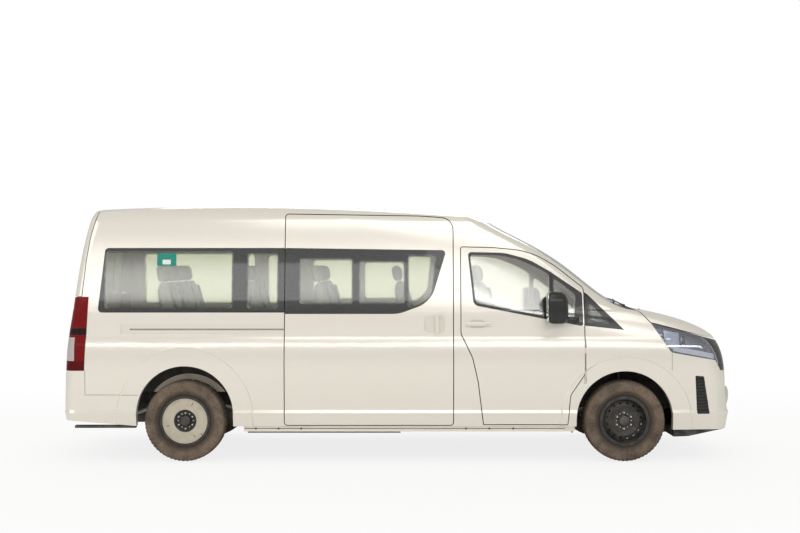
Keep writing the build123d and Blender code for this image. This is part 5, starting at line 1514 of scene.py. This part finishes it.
class MINIBUS_OT_seats(bpy.types.Operator):
    """Replaces the seat blocks with padded seats, headrests, seams, shells and belts"""

    bl_idname = "minibus.seats"
    bl_label = "Seats"

    # (front of the place's cushion from an axle, middle across, width, first row)
    FRONT = [(FRONT_AXLE - 1.150, y, w) for y, w in ((0.430, 0.478), (-0.545, 0.426), (-0.115, 0.426))]
    REAR = ([(REAR_AXLE + 1.980, y, 0.426) for y in (0.155, 0.585)]
            + [(REAR_AXLE + x, y, 0.426) for x in (1.260, 0.540) for y in (0.155, 0.585, -0.560)]
            + [(REAR_AXLE - 0.130, y, 0.396) for y in (0.205, 0.612, -0.602, -0.195)])
    ACROSS = Vector((0, 1, 0))
    LEAN = Vector((-0.135, 0, 0.700)).normalized()
    OUT = ACROSS.cross(LEAN)

    def foot(self, x, y):
        """Where the middle of a back stands on its cushion."""
        return Vector((x + 0.004, y, SEAT_TOP))

    def seat(self, soft, shells, rods, x, y, width):
        across, out, foot = self.ACROSS, self.OUT, self.foot(x, y)
        pad(soft, (width - 0.008, 0.490, 0.120), (x + 0.196, y, 1.003), frame_axes(across, (-1, 0, 0.03)),
            0.035, 0.25, (-0.55, 0.55), (-0.35, 0.25))
        pad(soft, (width - 0.012, 0.530, 0.128), foot + self.LEAN * 0.250, frame_axes(across, self.LEAN),
            0.05, 0.30, (-0.55, 0.55), (-0.45, 0.05, 0.50))
        for edge in (-1, 1):
            pad(soft, (0.075, 0.440, 0.070),
                foot + self.LEAN * 0.230 + out * 0.018 + Vector((0, edge * (width / 2 - 0.046), 0)),
                frame_axes(across, self.LEAN), 0.10, 0.3, cells=12)
        head = foot + self.LEAN * 0.594 - out * 0.010
        pad(soft, (bpy.context.scene.minibus_cabin.headrest_width, 0.150, 0.098), head,
            frame_axes(across, self.LEAN), 0.06, 0.30, (), (0.0,), 0.004, 16, 4.0)
        for edge in (-0.06, 0.06):
            low = foot + self.LEAN * 0.470 - out * 0.014 + Vector((0, edge, 0))
            rods.append([low, low + self.LEAN * 0.080])
        turn = frame_axes(across, self.LEAN)
        back = foot + self.LEAN * 0.225 - out * 0.061
        pad(shells, (width - 0.030, 0.470, 0.020), back, turn, 0.02, 0.1, cells=10)
        bead(shells, (x - 0.030, y - width / 2 + 0.010, 0.9405), (x + 0.400, y + width / 2 - 0.010, 0.962),
             0.008)

    def build(self, group, places, body):
        soft, shells, rods = bmesh.new(), bmesh.new(), []
        piping = []
        for x, y, width in places:
            self.seat(soft, shells, rods, x, y, width)
            corners = [(-1, 0.02), (1, 0.02), (1, 0.44), (-1, 0.44)]
            flat = rounded([(c * (width / 2 - 0.040), v) for c, v in corners], 0.05, 5)
            foot = self.foot(x, y)
            piping.append([foot + self.ACROSS * a + self.LEAN * v + self.OUT * 0.050 for a, v in flat])
        cover = new_piece(f"{group}_pads", soft, "seat_cloth", body, "seat_cloth", [group])
        new_piece(f"{group}_shells", shells, "seat_side", body, "black_plastic")
        new_piece(f"{group}_posts", sweep(rods, 0.0055, 10), "chrome", body, "bright")
        new_piece(f"{group}_piping", sweep(piping, 0.0028, 6, True), "belt_web", body, "seat_cloth")
        buckles, webs = bmesh.new(), []
        for x, y, width in places:
            side = -1 if y > 0 else 1
            bead(buckles, (x + 0.010, y + side * (width / 2 - 0.030) - 0.011, 1.058),
                 (x + 0.030, y + side * (width / 2 - 0.030) + 0.011, 1.112), 0.004)
            edge = self.foot(x, y) - self.ACROSS * (side * (width / 2 - 0.055))
            webs.append([edge + self.LEAN * v + self.OUT * lift for v, lift in
                         ((0.02, 0.058), (0.12, 0.064), (0.24, 0.066), (0.36, 0.064), (0.46, 0.052))])
        new_piece(f"{group}_buckles", buckles, "cabin_dark", body, "black_plastic")
        new_piece(f"{group}_belts", sweep([smooth_path(w, 3) for w in webs], 0.020, 8, flat=0.09),
                  "belt_web", body,
                  "seat_cloth")

    def execute(self, context):
        self.build("front_seats", self.FRONT, "body")
        self.build("rear_seats", self.REAR, "body")
        return {"FINISHED"}


class MINIBUS_OT_cabin(bpy.types.Operator):
    """Fits out the cabin: lining, lamps, grab rails, dashboard, horn pad, levers and door cards"""

    bl_idname = "minibus.cabin"
    bl_label = "Cabin"

    def execute(self, context):
        self.lining()
        self.dashboard()
        self.doors()
        return {"FINISHED"}

    def lining(self):
        bm = bmesh.new()
        rows = [(-0.62, 2.085), (-0.50, 2.128), (-0.30, 2.152), (0.0, 2.160), (0.30, 2.152), (0.50, 2.128),
                (0.62, 2.085)]
        xs = [TAIL + 0.400 + k * 0.200 for k in range(16)]
        grid = [[bm.verts.new((x, y, z - 0.055 - (0.004 if k % 2 else 0.0))) for y, z in rows]
                for k, x in enumerate(xs)]
        for a, b in zip(grid, grid[1:]):
            for k in range(len(rows) - 1):
                bm.faces.new((a[k], b[k], b[k + 1], a[k + 1]))
        new_piece("roof_lining", thicken(bm, 0.004), "headliner", "body", "cabin_plastic")
        lamps = beads(*[((x, -0.05, 2.092), (x + 0.16, 0.05, 2.100)) for x in (-1.9, -0.6, 0.4)],
                      radius=0.004)
        new_piece("cabin_lamps", lamps, "lamp_white", "body", "lamp_clear")
        rails = []
        for x in (REAR_AXLE + 0.15, REAR_AXLE + 0.95, REAR_AXLE + 1.70):
            for y in (-0.60, 0.60):
                rails.append(smooth_path([(x, y, 2.045), (x + 0.02, y, 2.000), (x + 0.14, y, 1.998),
                                          (x + 0.26, y, 2.000),
                                          (x + 0.28, y, 2.045)], 5))
        new_piece("grab_rails", sweep(rails, 0.009, 10), "cabin_grey", "body", "black_plastic")

    def dashboard(self):
        x = DASH_FRONT
        hood = bmesh.new()
        pad(hood, (0.360, 0.250, 0.060), (x - 0.290, 0.430, 1.214), frame_axes((0, 1, 0), (1, 0, 0.16)),
            0.05, 0.4)
        new_piece("instrument_hood", hood, "cabin_dark", "body", "black_plastic")
        dials = joined(*[disc((x - 0.352, y, 1.165), (-1, 0, 0.45),
                              [(0, 0.004), (0.038, 0.004), (0.042, 0.010),
                                                                      (0.046, 0.004), (0.046, -0.004)], 32)
                         for y in (0.370, 0.490)])
        new_piece("instrument_dials", dials, "gloss_black", "body", "black_plastic")
        stack = beads(((x - 0.404, -0.085, 0.985), (x - 0.380, 0.115, 1.120)), radius=0.008, segments=3)
        new_piece("centre_stack", stack, "gloss_black", "body", "black_plastic")
        knobs = joined(*[disc((x - 0.404, y, z), (-1, 0, 0),
                              [(0, 0.016), (0.012, 0.015), (0.014, 0.002), (0.016, -0.002)], 20)
                         for y, z in ((-0.055, 1.005), (0.015, 1.005), (0.085, 1.005))])
        new_piece("heater_knobs", knobs, "satin_chrome", "body", "bright")
        vents = []
        for y in (-0.760, -0.600, -0.020, 0.045, 0.640, 0.780):
            for k in range(5):
                z = 1.070 + k * 0.012
                vents.append([(x - 0.394 + k * 0.0018, y - 0.045, z + 0.03),
                              (x - 0.394 + k * 0.0018, y + 0.045, z + 0.03)])
        new_piece("cabin_vents", sweep(vents, 0.004, 6, flat=0.6), "cabin_dark", "body", "black_plastic")
        box = beads(((x - 0.402, -0.700, 0.930), (x - 0.384, -0.300, 1.060)), radius=0.006)
        new_piece("glove_box", box, "cabin_grey", "body", "black_plastic")
        hub = disc(STEERING - COLUMN * 0.030, COLUMN,
                   [(0, 0.030), (0.040, 0.028), (0.066, 0.018), (0.074, 0.002),
                                                    (0.070, -0.012)], 40)
        new_piece("horn_pad", hub, "cabin_dark", "body", "black_plastic")
        stalks = sweep([[STEERING - COLUMN * 0.075,
                         STEERING - COLUMN * 0.060 + Vector((0, s * 0.150, 0.015))] for s in (-1, 1)],
                       0.007, 10)
        new_piece("column_stalks", stalks, "cabin_dark", "body", "black_plastic")
        lever = [(1.500, 0.060, 0.930), (1.470, 0.060, 1.010), (1.455, 0.060, 1.060)]
        stick = joined(sweep([smooth_path(lever, 4)], 0.010, 12),
                       disc((1.455, 0.060, 1.075), (0, 0, 1),
                            [(0, 0.026), (0.016, 0.020), (0.023, 0.002), (0.018, -0.016)], 24))
        new_piece("gear_lever", stick, "cabin_dark", "body", "black_plastic")

    def doors(self):
        card = patch(Skin("door_right"), "right", [(DOOR_REAR + 0.240, 0.460), (DOOR_FRONT - 0.260, 0.460),
                                                   (DOOR_FRONT - 0.200, 0.700), (DOOR_FRONT - 0.120, 0.860),
                                                   (DOOR_FRONT - 0.120, 1.100), (DOOR_REAR + 0.140, 1.100)],
                     -0.066, 0.004, 0.06)
        pair("door_card", card, "cabin_grey", FRONT_DOORS, slot="black_plastic")
        rest = beads(((DOOR_REAR + 0.260, -0.876, 0.960), (DOOR_FRONT - 0.380, -0.836, 0.990)),
                     radius=0.012, segments=3)
        pair("door_armrest", rest, "cabin_dark", FRONT_DOORS, slot="black_plastic")


class MINIBUS_OT_underside(bpy.types.Operator):
    """Adds the radiator, splash panels, dampers, spring clips, tank straps, brake pipes and a towing eye"""

    bl_idname = "minibus.underside"
    bl_label = "Underside"

    def execute(self, context):
        damper = joined(sweep([[(REAR_AXLE - 0.10, -0.560, 0.330), (REAR_AXLE - 0.30, -0.500, 0.560)]],
                              0.026, 16),
                        sweep([[(REAR_AXLE - 0.06, -0.570, 0.285), (REAR_AXLE - 0.12, -0.555, 0.350)]],
                              0.012, 12))
        splash = beads(((REAR_AXLE - 0.660, -0.542, 0.300), (REAR_AXLE - 0.280, -0.536, 0.586)),
                       ((REAR_AXLE + 0.300, -0.542, 0.290), (REAR_AXLE + 0.470, -0.536, 0.586)), radius=0.002)
        pair("rear_splash_panels", splash, "under_plastic", "body", slot="black_plastic")
        grille_back = beads(((2.655, -0.700, 0.335), (2.660, 0.700, 0.690)), radius=0.002)
        new_piece("radiator_baffle", grille_back, "under_plastic", "body", "black_plastic")
        fins = [[(2.672, -0.400, 0.350 + k * 0.016), (2.672, 0.400, 0.350 + k * 0.016)] for k in range(20)]
        core = joined(sweep(fins, 0.0035, 6), beads(((2.662, -0.430, 0.340), (2.684, -0.400, 0.665)),
                                                    ((2.662, 0.400, 0.340), (2.684, 0.430, 0.665)),
                                                    radius=0.004))
        new_piece("radiator_core", core, "cast_iron", "body", "bare_steel")
        pair("rear_damper", damper, "bare_steel", "body", slot="black_steel")
        clips = beads(*[((REAR_AXLE + x - 0.012, -0.492, 0.398), (REAR_AXLE + x + 0.012, -0.408, 0.488))
                        for x in (-0.42, -0.060, 0.060, 0.40)], radius=0.004)
        pair("spring_clips", clips, "cast_iron", "body", slot="cast")
        straps = beads(*[((x, 0.487, 0.317), (x + 0.040, 0.803, 0.563)) for x in (-0.80, -0.10)],
                       radius=0.006)
        new_piece("tank_straps", straps, "bare_steel", "body", "bare_steel")
        pipes = [smooth_path([(1.60, 0.465, 0.430), (0.60, 0.462, 0.425), (-0.80, 0.462, 0.425),
                              (-1.50, 0.440, 0.440)], 6),
                 smooth_path([(1.60, 0.475, 0.415), (0.60, 0.472, 0.410), (-0.80, 0.472, 0.410),
                              (-1.50, 0.450, 0.425)], 6)]
        new_piece("brake_pipes", sweep(pipes, 0.004, 8), "bare_steel", "body", "bare_steel")
        front = beads(((FRONT_AXLE - 0.462, -0.905, 0.250), (FRONT_AXLE - 0.452, -0.700, 0.400)),
                      radius=0.003)
        pair("mud_flaps", front, "seam_rubber", "body", slot="black_plastic")
        hook = sweep([smooth_path([(2.55, -0.35, 0.225), (2.61, -0.35, 0.205), (2.66, -0.35, 0.225),
                                   (2.61, -0.35, 0.245)],
                                  5, True)], 0.008, 10, True)
        new_piece("towing_eye", hook, "cast_iron", "body", "cast")
        return {"FINISHED"}


OPERATORS = [
    MINIBUS_OT_finishes, MINIBUS_OT_stage, MINIBUS_OT_tyres, MINIBUS_OT_wheel_parts, MINIBUS_OT_headlamps,
    MINIBUS_OT_tail_lamps, MINIBUS_OT_seams, MINIBUS_OT_mirrors, MINIBUS_OT_fittings, MINIBUS_OT_seats,
    MINIBUS_OT_cabin,
    MINIBUS_OT_underside,
]
GROUPS = {
    "minibus_body": BodyLook, "minibus_wheels": WheelLook, "minibus_glass": GlassLook,
    "minibus_cabin": CabinLook, "minibus_stage": StageLook,
}


class MINIBUS_PT_panel(bpy.types.Panel):
    """Lists the steps that dress the minibus"""

    bl_idname = "MINIBUS_PT_panel"
    bl_label = "Minibus"
    bl_space_type = "VIEW_3D"
    bl_region_type = "UI"
    bl_category = "Minibus"

    def draw(self, context):
        for group in GROUPS:
            settings = getattr(context.scene, group)
            for name in settings.bl_rna.properties.keys():
                if name not in ("rna_type", "name"):
                    self.layout.prop(settings, name)
        for operator in OPERATORS:
            self.layout.operator(operator.bl_idname)


def register():
    for group in GROUPS.values():
        bpy.utils.register_class(group)
    for name, group in GROUPS.items():
        setattr(bpy.types.Scene, name, bpy.props.PointerProperty(type=group))
    for operator in OPERATORS:
        bpy.utils.register_class(operator)
    bpy.utils.register_class(MINIBUS_PT_panel)


def unregister():
    bpy.utils.unregister_class(MINIBUS_PT_panel)
    for operator in reversed(OPERATORS):
        bpy.utils.unregister_class(operator)
    for name, group in GROUPS.items():
        delattr(bpy.types.Scene, name)
        bpy.utils.unregister_class(group)


def main():
    register()
    for operator in OPERATORS:
        family, name = operator.bl_idname.split(".")
        getattr(getattr(bpy.ops, family), name)()


if __name__ == "__main__":
    main()
